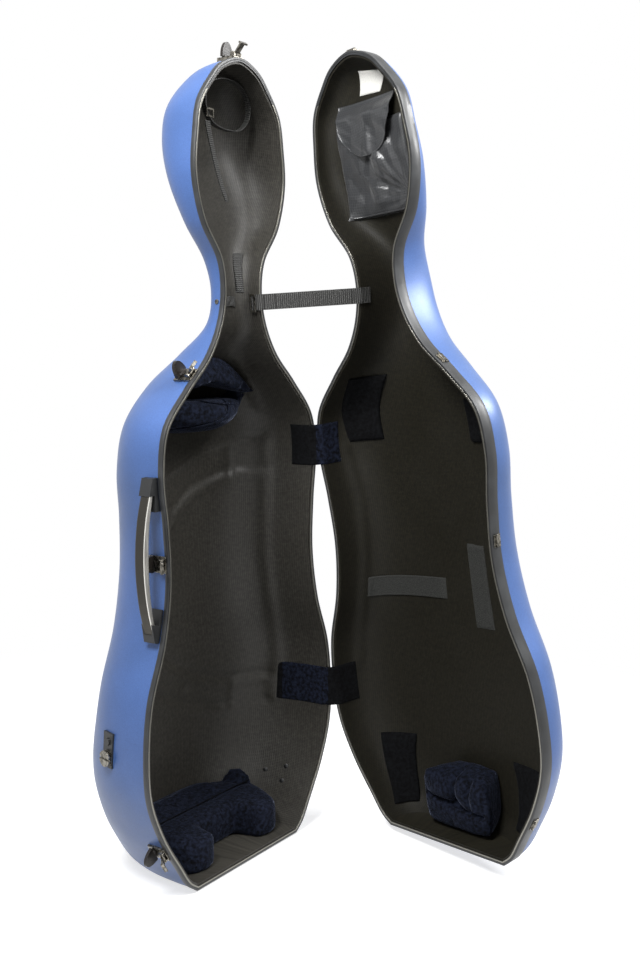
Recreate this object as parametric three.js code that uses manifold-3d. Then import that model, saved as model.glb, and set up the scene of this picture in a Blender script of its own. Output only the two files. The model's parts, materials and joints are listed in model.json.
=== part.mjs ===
// A hard case for a cello: a deep body and a shallower lid, hinged along one side and standing open.
// Millimetres, +Z up. The body's rim lies in a plane parallel to XZ and opens towards -Y.
import * as THREE from "three";
import { mergeVertices } from "three/addons/utils/BufferGeometryUtils.js";
import Module from "manifold-3d";

const wasm = await Module();
wasm.setup();

// Case
const caseHeight = 1330;
const boutHalfWidth = 252;
const bodyDepth = 210;
const lidDepth = 117;
const shellWall = 2.4;
const liningThickness = 6;
const seamGap = 0.3;
const seatGap = 0.3;
const sectionFullness = 3;

// Places up the case, as shares of its height
const placeShares = {
  lowerHinge: 0.188, upperHinge: 0.5188, shoulderLatch: 0.6241, handle: 0.4145, waistLatch: 0.409,
  cornerLatch: 0.0662,
  strapStud: 0.1805, strapBracket: 0.0632, neckRivet: 0.7113, shoulderLedge: 0.5865, stay: 0.7105,
  neckTab: 0.7474, pocket: 0.8624,
};
const placeUp = (share) => share * caseHeight;

// Base pad under the body
const padThickness = 4;
const padMargin = 7;
const padCentreDepth = 80;

// Rim bands and the light metal valance strips inside them
const bandThickness = 1.2;
const bodyBandWidth = 8;
const lidBandWidth = 20;
const lipThickness = 2;
const valanceWidth = 2.5;

// Hinges
const hingeBarrelRadius = 3;
const hingePinRadius = 1.5;
const hingePinClearance = 0.2;
const hingeLength = 46;
const hingeKnuckles = 5;
const hingeLeafWidth = 22;
const hingeLeafThickness = 1.4;
const lowerHingeHeight = placeUp(placeShares.lowerHinge);
const upperHingeHeight = placeUp(placeShares.upperHinge);
const lidOpening = THREE.MathUtils.degToRad(72.6);

// Latches
const hookOpening = THREE.MathUtils.degToRad(50);
const latch = {
  plateLength: 34,
  plateWidth: 26,
  plateThickness: 1.8,
  plateStart: 4,
  cheekThickness: 2,
  cheekLength: 9,
  pinRadius: 1.4,
  pinClearance: 0.2,
  pinDepth: 10,
  barrelRadius: 3.2,
  barrelLength: 14,
  hookReach: 23,
  hookThickness: 2.4,
  hookWidth: 11,
  hookHeadWidth: 18,
  hookTipLength: 2.8,
  turnDepth: 29,
  turnBossRadius: 7,
  turnBossHeight: 3,
  turnHeight: 24,
  turnWidth: 26,
  turnThickness: 5,
};
const keeper = { length: 14, width: 20, thickness: 1.4, start: 4.5, lipLength: 2, lipHeight: 2.6 };

// Carrying handle on the body's flank
const handle = {
  length: 250,
  depth: 20,
  rise: 39.5,
  endRise: 6.5,
  gripWidth: 18,
  gripThickness: 13,
  endThickness: 7,
  gripRound: 2,
  bracketLength: 52,
  bracketWidth: 22,
  baseRise: 7,
  capLength: 27,
  capThickness: 2,
  bracketWrap: 3,
  steps: 16,
};

// Stud for a carrying strap on the flank, and the strap brackets beside the hinges
const stud = {
  depth: 86,
  plateWidth: 24,
  plateLength: 56,
  plateThickness: 2,
  headRadius: 13,
  headHeight: 6,
  slotWidth: 3,
  slotDepth: 2,
  waistShare: 0.7,
  buttonRadius: 6,
  buttonHeight: 3,
  buttonRise: 26,
};
const strapBracket = { depth: 30, size: 36, thickness: 2, lugLength: 16, lugWidth: 8, lugRise: 9, lugHole: 4 };
const neckRivet = { depth: 15, radius: 4, rise: 1.6 };

// Cushions and pads
const bottomCushion = {
  top: 66, leftRise: 78, rightRise: 90, notchRise: 72, notchPlace: 116, notchHalfWidth: 12,
  recessHalfWidth: 50, recessDepth: 67, noseInner: 66, noseOuter: 112, noseDepth: 18, noseRound: 5,
  flareWidth: 58, flareDepth: 98, flarePower: 1.5, stripThickness: 12, stripDepth: 122, round: 6,
};
const shoulderCushion = {
  halfWidth: 133, padHeight: 52, bottomLift: 34, bottomLiftWidth: 105, recessHeight: 39, hoodHeight: 41,
  crownFlat: 30, crownDrop: 66, undersideDrop: 26, hoodFront: 58, hoodSweep: 16, ledgeFront: 58, ledgeSweep: 52,
  recessHalfWidth: 103, skin: 2, round: 5, liftPower: 3, undercutPower: 10,
  acrossShares: [0, 0.2, 0.4, 0.58, 0.7, 0.76, 0.83, 0.92, 1],
  padShares: [0, 0.12, 0.4, 0.75, 1], recessShares: [0, 0.5, 1], hoodShares: [0, 0.25, 0.55, 0.82, 1],
};
const lidCushion = {
  low: 16, high: 117, left: -84, right: 76, depth: 26, cornerShare: 0.15, backShare: 0.62, round: 9, groove: 11,
  slitTilt: 0.12, slitHalfLength: 66, cleftPlaces: [-2, -42], holeRadius: 13, grooveWidth: 5,
};
const padThicknessSoft = 8;
const hookStripThickness = 3;
// Pads and hook-and-loop strips on the lid's lining: where each lies up the case, as shares of its height, and
// round the section, in degrees, at its lower and upper edge
const lidPadShares = [
  {
    name: "lid_pad_upper_hinge", upShares: [0.5188, 0.606],
    lowAngles: [24, 58], highAngles: [8, 54], rows: 4, columns: 4,
  },
  {
    name: "lid_pad_upper_latch", upShares: [0.5128, 0.5684],
    lowAngles: [106, 114], highAngles: [106, 132], rows: 3, columns: 3,
  },
  {
    name: "lid_pad_lower_hinge", upShares: [0.018, 0.1053],
    lowAngles: [10, 42], highAngles: [27, 60], rows: 4, columns: 4,
  },
  {
    name: "lid_pad_lower_latch", upShares: [0.018, 0.1],
    lowAngles: [124, 150], highAngles: [105, 138], rows: 4, columns: 3,
  },
];
const lidHookStripShares = [
  {
    name: "lid_hook_strip_cross", upShares: [0.3023, 0.3308],
    lowAngles: [22, 86], highAngles: [22, 86], rows: 1, columns: 8,
  },
  {
    name: "lid_hook_strip_upright", upShares: [0.2692, 0.3805],
    lowAngles: [93, 101], highAngles: [94, 104], rows: 4, columns: 2,
  },
];

// Webbing
const stayStrap = { width: 26, thickness: 1.6, tail: 20, overRim: 1.5 };
const coverThickness = 2.5;
const coverSpan = 72;
const upperCover = { riseOverHinge: 7, bodyReach: 44, lidReach: 38 };
const lowerCover = { riseOverHinge: -4, bodyReach: 112, lidReach: 46 };
const coverStationShares = [1, 0.75, 0.5, 0.25, 0];
// How far a chord of a lining may stand in from its curve
const chordAllowance = 2;
const scrollLoop = {
  depth: 34, width: 10, thickness: 1.6, left: -46, right: 68, height: 79, crownGap: 27, corner: 22, steps: 20,
};
const scrollTail = { station: 11, length: 126, lean: 20, drift: 22, width: 12, tipWidth: 8, thickness: 1.6, steps: 6 };
const scrollSlide = { width: 18, height: 14, thickness: 2, bar: 2.5, drop: 6 };
const neckTab = { height: 66, width: 20, thickness: 2, angle: THREE.MathUtils.degToRad(50) };
const neckBand = { width: 16, thickness: 2, steps: 5, angles: [70, 128].map(THREE.MathUtils.degToRad) };
const slide = { height: 30, width: 15, thickness: 2.2, bar: 3, depth: 6 };

// Pocket in the lid's head
const pocket = { height: 150, left: -72, right: 86, edge: 4, bulge: 10, steps: 7 };
const flap = { length: 90, overhang: 36, halfWidth: 66, thickness: 2.5, run: 26 };

// Resolution
const contourSamples = 480;
const levels = 28;
const sectionAngleShares = [0, 0.075, 0.155, 0.236, 0.322, 0.413, 0.5, 0.587, 0.678, 0.764, 0.845, 0.925, 1];
const roundSegments = 16;

// Outline at the rim: share of the height, share of the half width
const outlineShares = [
  [0, 0.548], [0.0113, 0.627], [0.0376, 0.723], [0.0827, 0.873], [0.1353, 0.983], [0.188, 1],
  [0.2481, 0.961], [0.3158, 0.831], [0.3835, 0.77], [0.4511, 0.785], [0.5113, 0.819], [0.5639, 0.771],
  [0.609, 0.56], [0.6466, 0.352], [0.6842, 0.237], [0.7218, 0.195], [0.7594, 0.225], [0.8045, 0.389],
  [0.8571, 0.467], [0.9023, 0.452], [0.9398, 0.411], [0.9699, 0.294], [0.9887, 0.187], [1, 0],
];
// Depth of each half: share of the height, share of the full depth
const bodyDepthShares = [
  [0, 0.74], [0.0226, 0.95], [0.06, 1], [0.1128, 1], [0.1654, 0.98], [0.2256, 0.92], [0.3008, 0.876],
  [0.3759, 0.848], [0.4511, 0.814], [0.5113, 0.79], [0.5639, 0.743], [0.609, 0.66], [0.6466, 0.46],
  [0.6842, 0.225], [0.7218, 0.205], [0.7594, 0.252], [0.8045, 0.33], [0.8571, 0.452], [0.9023, 0.529],
  [0.9398, 0.51], [0.9699, 0.42], [0.9887, 0.28], [1, 0],
];
const lidDepthShares = [
  [0, 0.62], [0.0226, 0.84], [0.06, 0.9], [0.1128, 0.94], [0.1654, 0.985], [0.2256, 1], [0.3008, 1],
  [0.3759, 0.99], [0.4511, 0.955], [0.5113, 0.935], [0.5639, 0.9], [0.609, 0.89], [0.6466, 0.895],
  [0.6842, 0.9], [0.7218, 0.885], [0.7594, 0.79], [0.8045, 0.615], [0.8571, 0.47], [0.9023, 0.41],
  [0.9398, 0.42], [0.9699, 0.4], [0.9887, 0.3], [1, 0],
];
// Heights, as shares, between which a level keeps its place whatever the inset
const steadyLowShare = 0.08;
const steadyHighShare = 0.9;

// Derived places
const shellBase = padThickness + seatGap;
const shellHeight = caseHeight - shellBase;
const edgePlane = seamGap / 2 + lipThickness + seatGap;
const liningOuter = shellWall + seatGap;
const liningInner = liningOuter + liningThickness;
const padInset = liningInner + seatGap;
const bandInner = -seatGap;
const bandOuter = bandInner - bandThickness;
const hingeLineOffset = bandThickness + 2 * seatGap + hingeBarrelRadius;

// A smooth half contour from the base to the crown, which can be read at any height and inset.
class Contour {
  constructor(shares, reach) {
    const side = shares.map(([up, out]) => new THREE.Vector3(out * reach, 0, shellBase + up * shellHeight));
    const mirrored = side.slice(0, -1).reverse().map((p) => new THREE.Vector3(-p.x, 0, p.z));
    this.curve = new THREE.CatmullRomCurve3([...side, ...mirrored]);
    this.lines = new Map();
  }

  height(share) {
    return this.curve.getPoint(share / 2).z;
  }

  line(inset) {
    if (!this.lines.has(inset)) {
      const line = [];
      for (let i = 0; i <= contourSamples; i++) {
        const share = i / contourSamples / 2;
        const p = this.curve.getPoint(share);
        const along = this.curve.getTangent(share);
        line.push([p.x - inset * along.z, p.z + inset * along.x]);
      }
      line[contourSamples] = [0, caseHeight - inset];
      this.lines.set(inset, line);
    }
    return this.lines.get(inset);
  }

  at(z, inset = 0) {
    const line = this.line(inset);
    let low = 0;
    let high = contourSamples;
    while (high - low > 1) {
      const middle = (low + high) >> 1;
      if (line[middle][1] <= z) low = middle;
      else high = middle;
    }
    const [x0, z0] = line[low];
    const [x1, z1] = line[high];
    const share = THREE.MathUtils.clamp((z - z0) / (z1 - z0), 0, 1);
    return Math.max(x0 + (x1 - x0) * share, 0);
  }
}

const outline = new Contour(outlineShares, boutHalfWidth);
const body = { side: 1, depth: new Contour(bodyDepthShares, bodyDepth - edgePlane), band: bodyBandWidth };
const lid = { side: -1, depth: new Contour(lidDepthShares, lidDepth - edgePlane), band: lidBandWidth };

// Heights of the levels between a floor and a crown; the long middle stretch stays put.
function levelHeights(floor, crown) {
  const low = shellBase + steadyLowShare * shellHeight;
  const high = shellBase + steadyHighShare * shellHeight;
  const heights = [];
  for (let i = 0; i <= levels; i++) {
    const z = outline.height(i / levels);
    if (z < low) heights.push(floor + ((z - shellBase) / (low - shellBase)) * (low - floor));
    else if (z > high) heights.push(high + ((z - high) / (caseHeight - high)) * (crown - high));
    else heights.push(z);
  }
  heights[levels] = crown;
  return heights;
}

const rounding = 2 / sectionFullness;

// A point of a half's wall at a height and at an angle round its section.
function wallPoint(half, z, angle, inset) {
  const across = Math.cos(angle);
  const x = outline.at(z, inset) * Math.sign(across) * Math.abs(across) ** rounding;
  const y = half.depth.at(z, inset) * Math.max(Math.sin(angle), 0) ** rounding;
  return new THREE.Vector3(x, half.side * (edgePlane + y), z);
}

// How deep the wall lies behind a place given by x and height, as a positive depth.
function wallDepth(half, x, z, inset) {
  const share = Math.min(Math.abs(x) / Math.max(outline.at(z, inset), seatGap), 1);
  return edgePlane + half.depth.at(z, inset) * (1 - share ** sectionFullness) ** (1 / sectionFullness);
}

// A geometry from points and triangles, turned inside out where its faces pointed inwards.
function closedGeometry(points, triangles) {
  let volume = 0;
  for (const [a, b, c] of triangles) {
    volume += points[a].dot(new THREE.Vector3().crossVectors(points[b], points[c]));
  }
  const faces = volume < 0 ? triangles.map(([a, b, c]) => [a, c, b]) : triangles;
  const geometry = new THREE.BufferGeometry();
  geometry.setAttribute("position", new THREE.Float32BufferAttribute(points.flatMap((p) => p.toArray()), 3));
  geometry.setIndex(faces.flat());
  return geometry;
}

// A closed solid between two grids of points that face each other.
function betweenGrids(top, bottom) {
  const rows = top.length;
  const columns = top[0].length;
  const points = [...top.flat(), ...bottom.flat()];
  const upper = (r, c) => r * columns + c;
  const lower = (r, c) => rows * columns + upper(r, c);
  const triangles = [];
  const quad = (a, b, c, d) => triangles.push([a, b, c], [a, c, d]);
  for (let r = 0; r < rows - 1; r++) {
    for (let c = 0; c < columns - 1; c++) {
      quad(upper(r, c), upper(r, c + 1), upper(r + 1, c + 1), upper(r + 1, c));
      quad(lower(r, c), lower(r + 1, c), lower(r + 1, c + 1), lower(r, c + 1));
    }
    quad(upper(r, 0), upper(r + 1, 0), lower(r + 1, 0), lower(r, 0));
    quad(upper(r, columns - 1), lower(r, columns - 1), lower(r + 1, columns - 1), upper(r + 1, columns - 1));
  }
  for (let c = 0; c < columns - 1; c++) {
    quad(upper(0, c), lower(0, c), lower(0, c + 1), upper(0, c + 1));
    quad(upper(rows - 1, c), upper(rows - 1, c + 1), lower(rows - 1, c + 1), lower(rows - 1, c));
  }
  return closedGeometry(points, triangles);
}

// A closed band through rings of points that all have as many stations.
function throughRings(rings) {
  const stations = rings[0].length;
  const points = rings.flat();
  const triangles = [];
  rings.forEach((_, k) => {
    const next = (k + 1) % rings.length;
    for (let i = 0; i < stations; i++) {
      const j = (i + 1) % stations;
      const [a, b, c, d] = [k * stations + i, k * stations + j, next * stations + j, next * stations + i];
      triangles.push([a, b, c], [a, c, d]);
    }
  });
  return closedGeometry(points, triangles);
}

// The levels of a half at one inset: a row of wall points per level, and the crown.
function wallGrid(half, inset) {
  const floor = shellBase + inset;
  const crown = caseHeight - inset;
  const rows = levelHeights(floor, crown)
    .slice(0, -1)
    .map((z) => sectionAngleShares.map((share) => wallPoint(half, z, share * Math.PI, inset)));
  return { rows, crown: new THREE.Vector3(0, half.side * edgePlane, crown) };
}

// The triangles of one wall surface, with its fan at the crown and its flat floor.
function wallFaces(offset, reversed) {
  const columns = sectionAngleShares.length;
  const crown = offset + levels * columns;
  const faces = [];
  for (let i = 0; i < levels - 1; i++) {
    for (let j = 0; j < columns - 1; j++) {
      const a = offset + i * columns + j;
      faces.push([a, a + 1, a + columns + 1], [a, a + columns + 1, a + columns]);
    }
  }
  const last = offset + (levels - 1) * columns;
  for (let j = 0; j < columns - 1; j++) faces.push([last + j, last + j + 1, crown]);
  for (let j = 1; j < columns - 1; j++) faces.push([offset, offset + j + 1, offset + j]);
  return reversed ? faces.map(([a, b, c]) => [a, c, b]) : faces;
}

// One open half of the case between two insets: walls, floor and rounded crown.
function halfShell(half, outerInset, innerInset) {
  const columns = sectionAngleShares.length;
  const outer = wallGrid(half, outerInset);
  const inner = wallGrid(half, innerInset);
  const points = [...outer.rows.flat(), outer.crown, ...inner.rows.flat(), inner.crown];
  const shift = levels * columns + 1;
  const triangles = [...wallFaces(0, false), ...wallFaces(shift, true)];
  const quad = (a, b, c, d) => triangles.push([a, b, c], [a, c, d]);
  for (const j of [0, columns - 1]) {
    const edge = [...Array(levels).keys()].map((i) => i * columns + j).concat(levels * columns);
    for (let i = 0; i < levels; i++) {
      const [a, b] = [edge[i], edge[i + 1]];
      if (j === 0) quad(a, b, b + shift, a + shift);
      else quad(b, a, a + shift, b + shift);
    }
  }
  quad(columns - 1, 0, shift, shift + columns - 1);
  return closedGeometry(points, triangles);
}

// A half of the case as one full solid, out to an inset, for cutting what seats on it.
function halfPlug(half, inset) {
  const columns = sectionAngleShares.length;
  const grid = wallGrid(half, inset);
  const points = [...grid.rows.flat(), grid.crown];
  const triangles = wallFaces(0, false);
  for (let i = 0; i < levels - 1; i++) {
    const [a, b] = [i * columns, (i + 1) * columns];
    triangles.push([a, b, b + columns - 1], [a, b + columns - 1, a + columns - 1]);
  }
  const last = (levels - 1) * columns;
  triangles.push([last, levels * columns, last + columns - 1]);
  return closedGeometry(points, triangles);
}

// The closed ring where a half, grown or shrunk by an inset, meets a plane at some depth.
function depthRing(half, depth, inset) {
  const beyond = depth - edgePlane;
  const floor = shellBase + inset;
  let crown = caseHeight - inset;
  if (beyond > 0) {
    let [low, high] = [caseHeight - lidDepth, crown];
    for (let i = 0; i < contourSamples; i++) {
      const middle = (low + high) / 2;
      if (half.depth.at(middle, inset) > beyond) low = middle;
      else high = middle;
    }
    crown = low;
  }
  const heights = levelHeights(floor, crown);
  const width = (z) => {
    const share = beyond > 0 ? Math.min(beyond / half.depth.at(z, inset), 1) : 0;
    return outline.at(z, inset) * (1 - share ** sectionFullness) ** (1 / sectionFullness);
  };
  const y = half.side * depth;
  const right = heights.slice(0, -1).map((z) => new THREE.Vector3(width(z), y, z));
  const left = right.map((p) => new THREE.Vector3(-p.x, y, p.z)).reverse();
  return [...right, new THREE.Vector3(0, y, crown), ...left];
}

// Solids for cutting and joining
function solid(geometry, matrix) {
  const bare = new THREE.BufferGeometry();
  bare.setAttribute("position", geometry.getAttribute("position").clone());
  if (geometry.index) bare.setIndex(geometry.index.clone());
  if (matrix) bare.applyMatrix4(matrix);
  const merged = mergeVertices(bare, seatGap / 1000);
  return new wasm.Manifold(
    new wasm.Mesh({
      numProp: 3,
      vertProperties: merged.getAttribute("position").array,
      triVerts: new Uint32Array(merged.index.array),
    }),
  );
}

function geometryOf(made) {
  const mesh = made.getMesh();
  const geometry = new THREE.BufferGeometry();
  geometry.setAttribute("position", new THREE.BufferAttribute(new Float32Array(mesh.vertProperties), 3));
  geometry.setIndex(new THREE.BufferAttribute(new Uint32Array(mesh.triVerts), 1));
  return geometry;
}

const join = (...solids) => solids.reduce((a, b) => a.add(b));
const cut = (from, ...solids) => solids.reduce((a, b) => a.subtract(b), from);

// A box between two corners.
function block(x0, x1, y0, y1, z0, z1) {
  const geometry = new THREE.BoxGeometry(x1 - x0, y1 - y0, z1 - z0);
  return geometry.translate((x0 + x1) / 2, (y0 + y1) / 2, (z0 + z1) / 2);
}

// A ring or a rod about local Z, centred on the origin.
function ring(outerRadius, innerRadius, length) {
  const half = length / 2;
  const profile = innerRadius > 0
    ? [[innerRadius, -half], [outerRadius, -half], [outerRadius, half], [innerRadius, half], [innerRadius, -half]]
    : [[0, -half], [outerRadius, -half], [outerRadius, half], [0, half]];
  const points = profile.map(([r, h]) => new THREE.Vector2(r, h));
  return new THREE.LatheGeometry(points, roundSegments).rotateX(Math.PI / 2);
}

// Finishes
const finish = (color, roughness, metalness) => new THREE.MeshStandardMaterial({ color, roughness, metalness });
const lacquer = () => finish(0x3f6fc8, 0.35, 0.35);
const blackRubber = () => finish(0x17181a, 0.7, 0);
const lightStrip = () => finish(0x9a9c9c, 0.4, 0.8);
const textileFoam = () => finish(0x2b2925, 0.95, 0);
const velvet = () => finish(0x1b2036, 1, 0);
const webbing = () => finish(0x101114, 0.9, 0);
const nickel = () => finish(0xb9b4a8, 0.3, 0.9);
const blackPlastic = () => finish(0x1a1a1b, 0.5, 0);
const brushedMetal = () => finish(0x8d8a84, 0.35, 0.8);
const nylon = () => finish(0x111215, 0.6, 0);

// Groups: the whole, the body, and the lid turned open about the hinge line
const assembly = new THREE.Group();
assembly.position.y = -padCentreDepth;

function piece(parent, name, geometry, material) {
  const made = new THREE.Mesh(geometry, material);
  made.name = name;
  parent.add(made);
  return made;
}

const hingeFoot = new THREE.Vector3(outline.at(lowerHingeHeight) + hingeLineOffset, 0, lowerHingeHeight);
const hingeHead = new THREE.Vector3(outline.at(upperHingeHeight) + hingeLineOffset, 0, upperHingeHeight);
const hingeAxis = hingeHead.clone().sub(hingeFoot).normalize();

// A group that turns about an axis through a pivot, and keeps its parent's coordinates when closed.
function turned(parent, name, pivot, axis, angle) {
  const outer = new THREE.Group();
  outer.name = name;
  outer.position.copy(pivot);
  outer.quaternion.setFromAxisAngle(axis, angle);
  const inner = new THREE.Group();
  inner.position.copy(pivot).negate();
  outer.add(inner);
  parent.add(outer);
  return inner;
}

const bodyGroup = new THREE.Group();
assembly.add(bodyGroup);
const lidGroup = turned(assembly, "lid_hinge", hingeFoot, hingeAxis, lidOpening);
const lidOpen = new THREE.Matrix4()
  .makeTranslation(hingeFoot.x, hingeFoot.y, hingeFoot.z)
  .multiply(new THREE.Matrix4().makeRotationAxis(hingeAxis, lidOpening))
  .multiply(new THREE.Matrix4().makeTranslation(-hingeFoot.x, -hingeFoot.y, -hingeFoot.z));

// The prism between two planes parallel to the rim, as wide as an outline at an inset.
function prism(half, inset, fromDepth, toDepth) {
  const near = depthRing(half, fromDepth, inset);
  const far = depthRing(half, toDepth, inset);
  const points = [...near, ...far];
  const count = near.length;
  const triangles = [];
  for (let i = 0; i < count; i++) {
    const j = (i + 1) % count;
    triangles.push([i, j, count + j], [i, count + j, count + i]);
  }
  for (let i = 0; i < levels; i++) {
    const mirror = count - 1 - i;
    const faces = i + 1 < mirror - 1 ? [[i, i + 1, mirror - 1], [i, mirror - 1, mirror]] : [[i, i + 1, mirror]];
    for (const [a, b, c] of faces) triangles.push([a, c, b], [count + a, count + b, count + c]);
  }
  return closedGeometry(points, triangles);
}

// A half as a full solid from the plane at a depth, out to an inset.
function fullHalf(half, inset, fromDepth) {
  return join(solid(prism(half, inset, fromDepth, edgePlane)), solid(halfPlug(half, inset)));
}

// The part of space between two depths behind the rim plane of a half.
function layer(half, fromDepth, toDepth) {
  const [y0, y1] = [half.side * fromDepth, half.side * toDepth].sort((a, b) => a - b);
  return solid(block(-caseHeight, caseHeight, y0, y1, -caseHeight, 2 * caseHeight));
}

// What seats outside a half is cut by this: the shell and its rim band, grown by the seat gap.
function envelope(half) {
  const band = fullHalf(half, bandOuter - seatGap, 0).intersect(layer(half, 0, half.band + seatGap));
  return join(fullHalf(half, -seatGap, 0), band);
}

// What lies on a lining is cut by this: shell and lining, grown inwards by the seat gap.
const jacket = (half) => solid(halfShell(half, 0, padInset));

const bodyEnvelope = envelope(body);
const lidEnvelope = envelope(lid);
const bodyJacket = jacket(body);
const lidJacket = jacket(lid);
const openLidJacket = solid(geometryOf(lidJacket), lidOpen);
const largest = (made) => made.decompose().sort((a, b) => b.volume() - a.volume())[0];
const lining = (geometry, ...jackets) => geometryOf(largest(cut(solid(geometry), ...jackets)));
const onLining = (half, geometry) => lining(geometry, half.side > 0 ? bodyJacket : lidJacket);

// Shells, linings, rim bands and valances
function halfCase(group, half, name) {
  piece(group, name + "_shell", halfShell(half, 0, shellWall), lacquer());
  piece(group, name + "_lining", halfShell(half, liningOuter, liningInner), textileFoam());
  const seam = seamGap / 2;
  const lipBack = seam + lipThickness;
  const sleeve = cut(fullHalf(half, bandOuter, seam), fullHalf(half, bandInner, 0));
  const leg = sleeve.intersect(layer(half, seam, half.band));
  const lip = throughRings([
    depthRing(half, seam, bandOuter),
    depthRing(half, lipBack, bandOuter),
    depthRing(half, lipBack, shellWall),
    depthRing(half, seam, shellWall),
  ]);
  piece(group, name + "_rim_band", geometryOf(join(leg, solid(lip))), blackRubber());
  const stripInsets = [liningOuter, liningOuter + valanceWidth];
  const strip = [
    depthRing(half, seam, stripInsets[0]),
    depthRing(half, lipBack, stripInsets[0]),
    depthRing(half, lipBack, stripInsets[1]),
    depthRing(half, seam, stripInsets[1]),
  ];
  piece(group, name + "_valance", throughRings(strip), lightStrip());
}

function basePad() {
  const start = body.band + 2 * seatGap;
  const halfWidth = outline.at(shellBase) - padMargin;
  const reach = body.depth.at(shellBase) + edgePlane - padMargin - start;
  const shape = new THREE.Shape(
    sectionAngleShares.map((share) => {
      const [c, s] = [Math.cos(share * Math.PI), Math.sin(share * Math.PI)];
      const x = halfWidth * Math.sign(c) * Math.abs(c) ** rounding;
      return new THREE.Vector2(x, start + reach * Math.max(s, 0) ** rounding);
    }),
  );
  const geometry = new THREE.ExtrudeGeometry(shape, { depth: padThickness, bevelEnabled: false });
  piece(bodyGroup, "base_pad", geometry, blackRubber());
}

// A frame on the latch side of the rim: X outwards, Y into the body, at a height or at the crown.
function rimFrame(height, side) {
  const frame = new THREE.Matrix4();
  const depthways = new THREE.Vector3(0, 1, 0);
  const out = new THREE.Vector3(0, 0, 1);
  const place = new THREE.Vector3(0, 0, caseHeight);
  if (height < caseHeight) {
    const slope = (outline.at(height + seatGap) - outline.at(height - seatGap)) / (2 * seatGap);
    out.set(side, 0, -slope).normalize();
    place.set(side * outline.at(height), 0, height);
  }
  frame.makeBasis(out, depthways, new THREE.Vector3().crossVectors(out, depthways));
  frame.setPosition(place);
  return frame;
}

// What is modelled in a rim frame and seats on a half, cut by that half.
function seated(made, frame, half) {
  const inverse = frame.clone().invert();
  const placed = solid(geometryOf(made), frame).subtract(half.side > 0 ? bodyEnvelope : lidEnvelope);
  return solid(geometryOf(largest(placed)), inverse);
}

function framed(group, name, frame) {
  const made = new THREE.Group();
  made.name = name;
  frame.decompose(made.position, made.quaternion, made.scale);
  group.add(made);
  return made;
}

const bandTop = bandThickness + 2 * seatGap;
const plateTop = bandTop + latch.plateThickness;
const pinRise = plateTop + latch.barrelRadius + 2 * seatGap;
const seatDepth = 12;

function latchBase(frame) {
  const { plateStart, plateLength, plateWidth, cheekThickness, cheekLength, barrelLength } = latch;
  const half = plateWidth / 2;
  const plate = solid(block(-seatDepth, plateTop, plateStart, plateStart + plateLength, -half, half));
  const cheekInner = barrelLength / 2 + seatGap;
  const cheeks = [-1, 1].map((s) => {
    const [z0, z1] = [s * cheekInner, s * (cheekInner + cheekThickness)].sort((a, b) => a - b);
    const y0 = latch.pinDepth - cheekLength / 2;
    const foot = solid(block(plateTop - cheekThickness / 2, pinRise, y0, y0 + cheekLength, z0, z1));
    const turn = new THREE.Matrix4().makeTranslation(pinRise, latch.pinDepth, (z0 + z1) / 2);
    return join(foot, solid(ring(cheekLength / 2, 0, cheekThickness), turn));
  });
  const pinPlace = new THREE.Matrix4().makeTranslation(pinRise, latch.pinDepth, 0);
  const pin = solid(ring(latch.pinRadius, 0, 2 * cheekInner + cheekThickness), pinPlace);
  return geometryOf(join(seated(plate, frame, body), ...cheeks, pin));
}

function latchHook() {
  const { pinDepth, barrelRadius, barrelLength, hookThickness, hookWidth, hookReach } = latch;
  const place = new THREE.Matrix4().makeTranslation(pinRise, pinDepth, 0);
  const barrel = solid(ring(barrelRadius, 0, barrelLength), place);
  const bore = solid(ring(latch.pinRadius + latch.pinClearance, 0, 2 * barrelLength), place);
  const tip = pinDepth - hookReach;
  const [x0, x1] = [pinRise - hookThickness / 2, pinRise + hookThickness / 2];
  const arm = solid(block(x0, x1, tip, pinDepth, -hookWidth / 2, hookWidth / 2));
  const headHalf = latch.hookHeadWidth / 2;
  const hookFoot = bandTop + keeper.thickness + seatGap;
  const head = solid(block(hookFoot, x1, tip, tip + latch.hookTipLength, -headHalf, headHalf));
  return geometryOf(cut(join(barrel, arm, head), bore));
}

function latchTurn() {
  const { turnBossRadius, turnBossHeight, turnHeight, turnWidth, turnThickness } = latch;
  const boss = solid(
    ring(turnBossRadius, 0, turnBossHeight)
      .rotateY(Math.PI / 2)
      .translate(turnBossHeight / 2, 0, 0),
  );
  const shape = new THREE.Shape();
  shape.absellipse(0, 0, turnHeight, turnWidth / 2, -Math.PI / 2, Math.PI / 2);
  const paddle = new THREE.ExtrudeGeometry(shape, {
    depth: turnThickness, bevelEnabled: false, curveSegments: roundSegments / 2,
  });
  paddle.translate(0, 0, -turnThickness / 2).rotateX(Math.PI / 2).translate(turnBossHeight / 2, 0, 0);
  return geometryOf(join(boss, solid(paddle)));
}

function latchKeeper(frame) {
  const { length, width, thickness, start, lipLength, lipHeight } = keeper;
  const plate = solid(block(-seatDepth, bandTop + thickness, -start - length, -start, -width / 2, width / 2));
  const lipEnd = latch.pinDepth - latch.hookReach + latch.hookTipLength + seatGap;
  const [x0, x1] = [bandTop + thickness / 2, bandTop + thickness + lipHeight];
  const lip = solid(block(x0, x1, lipEnd, lipEnd + lipLength, -width / 2, width / 2));
  return geometryOf(join(seated(plate, frame, lid), lip));
}

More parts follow.
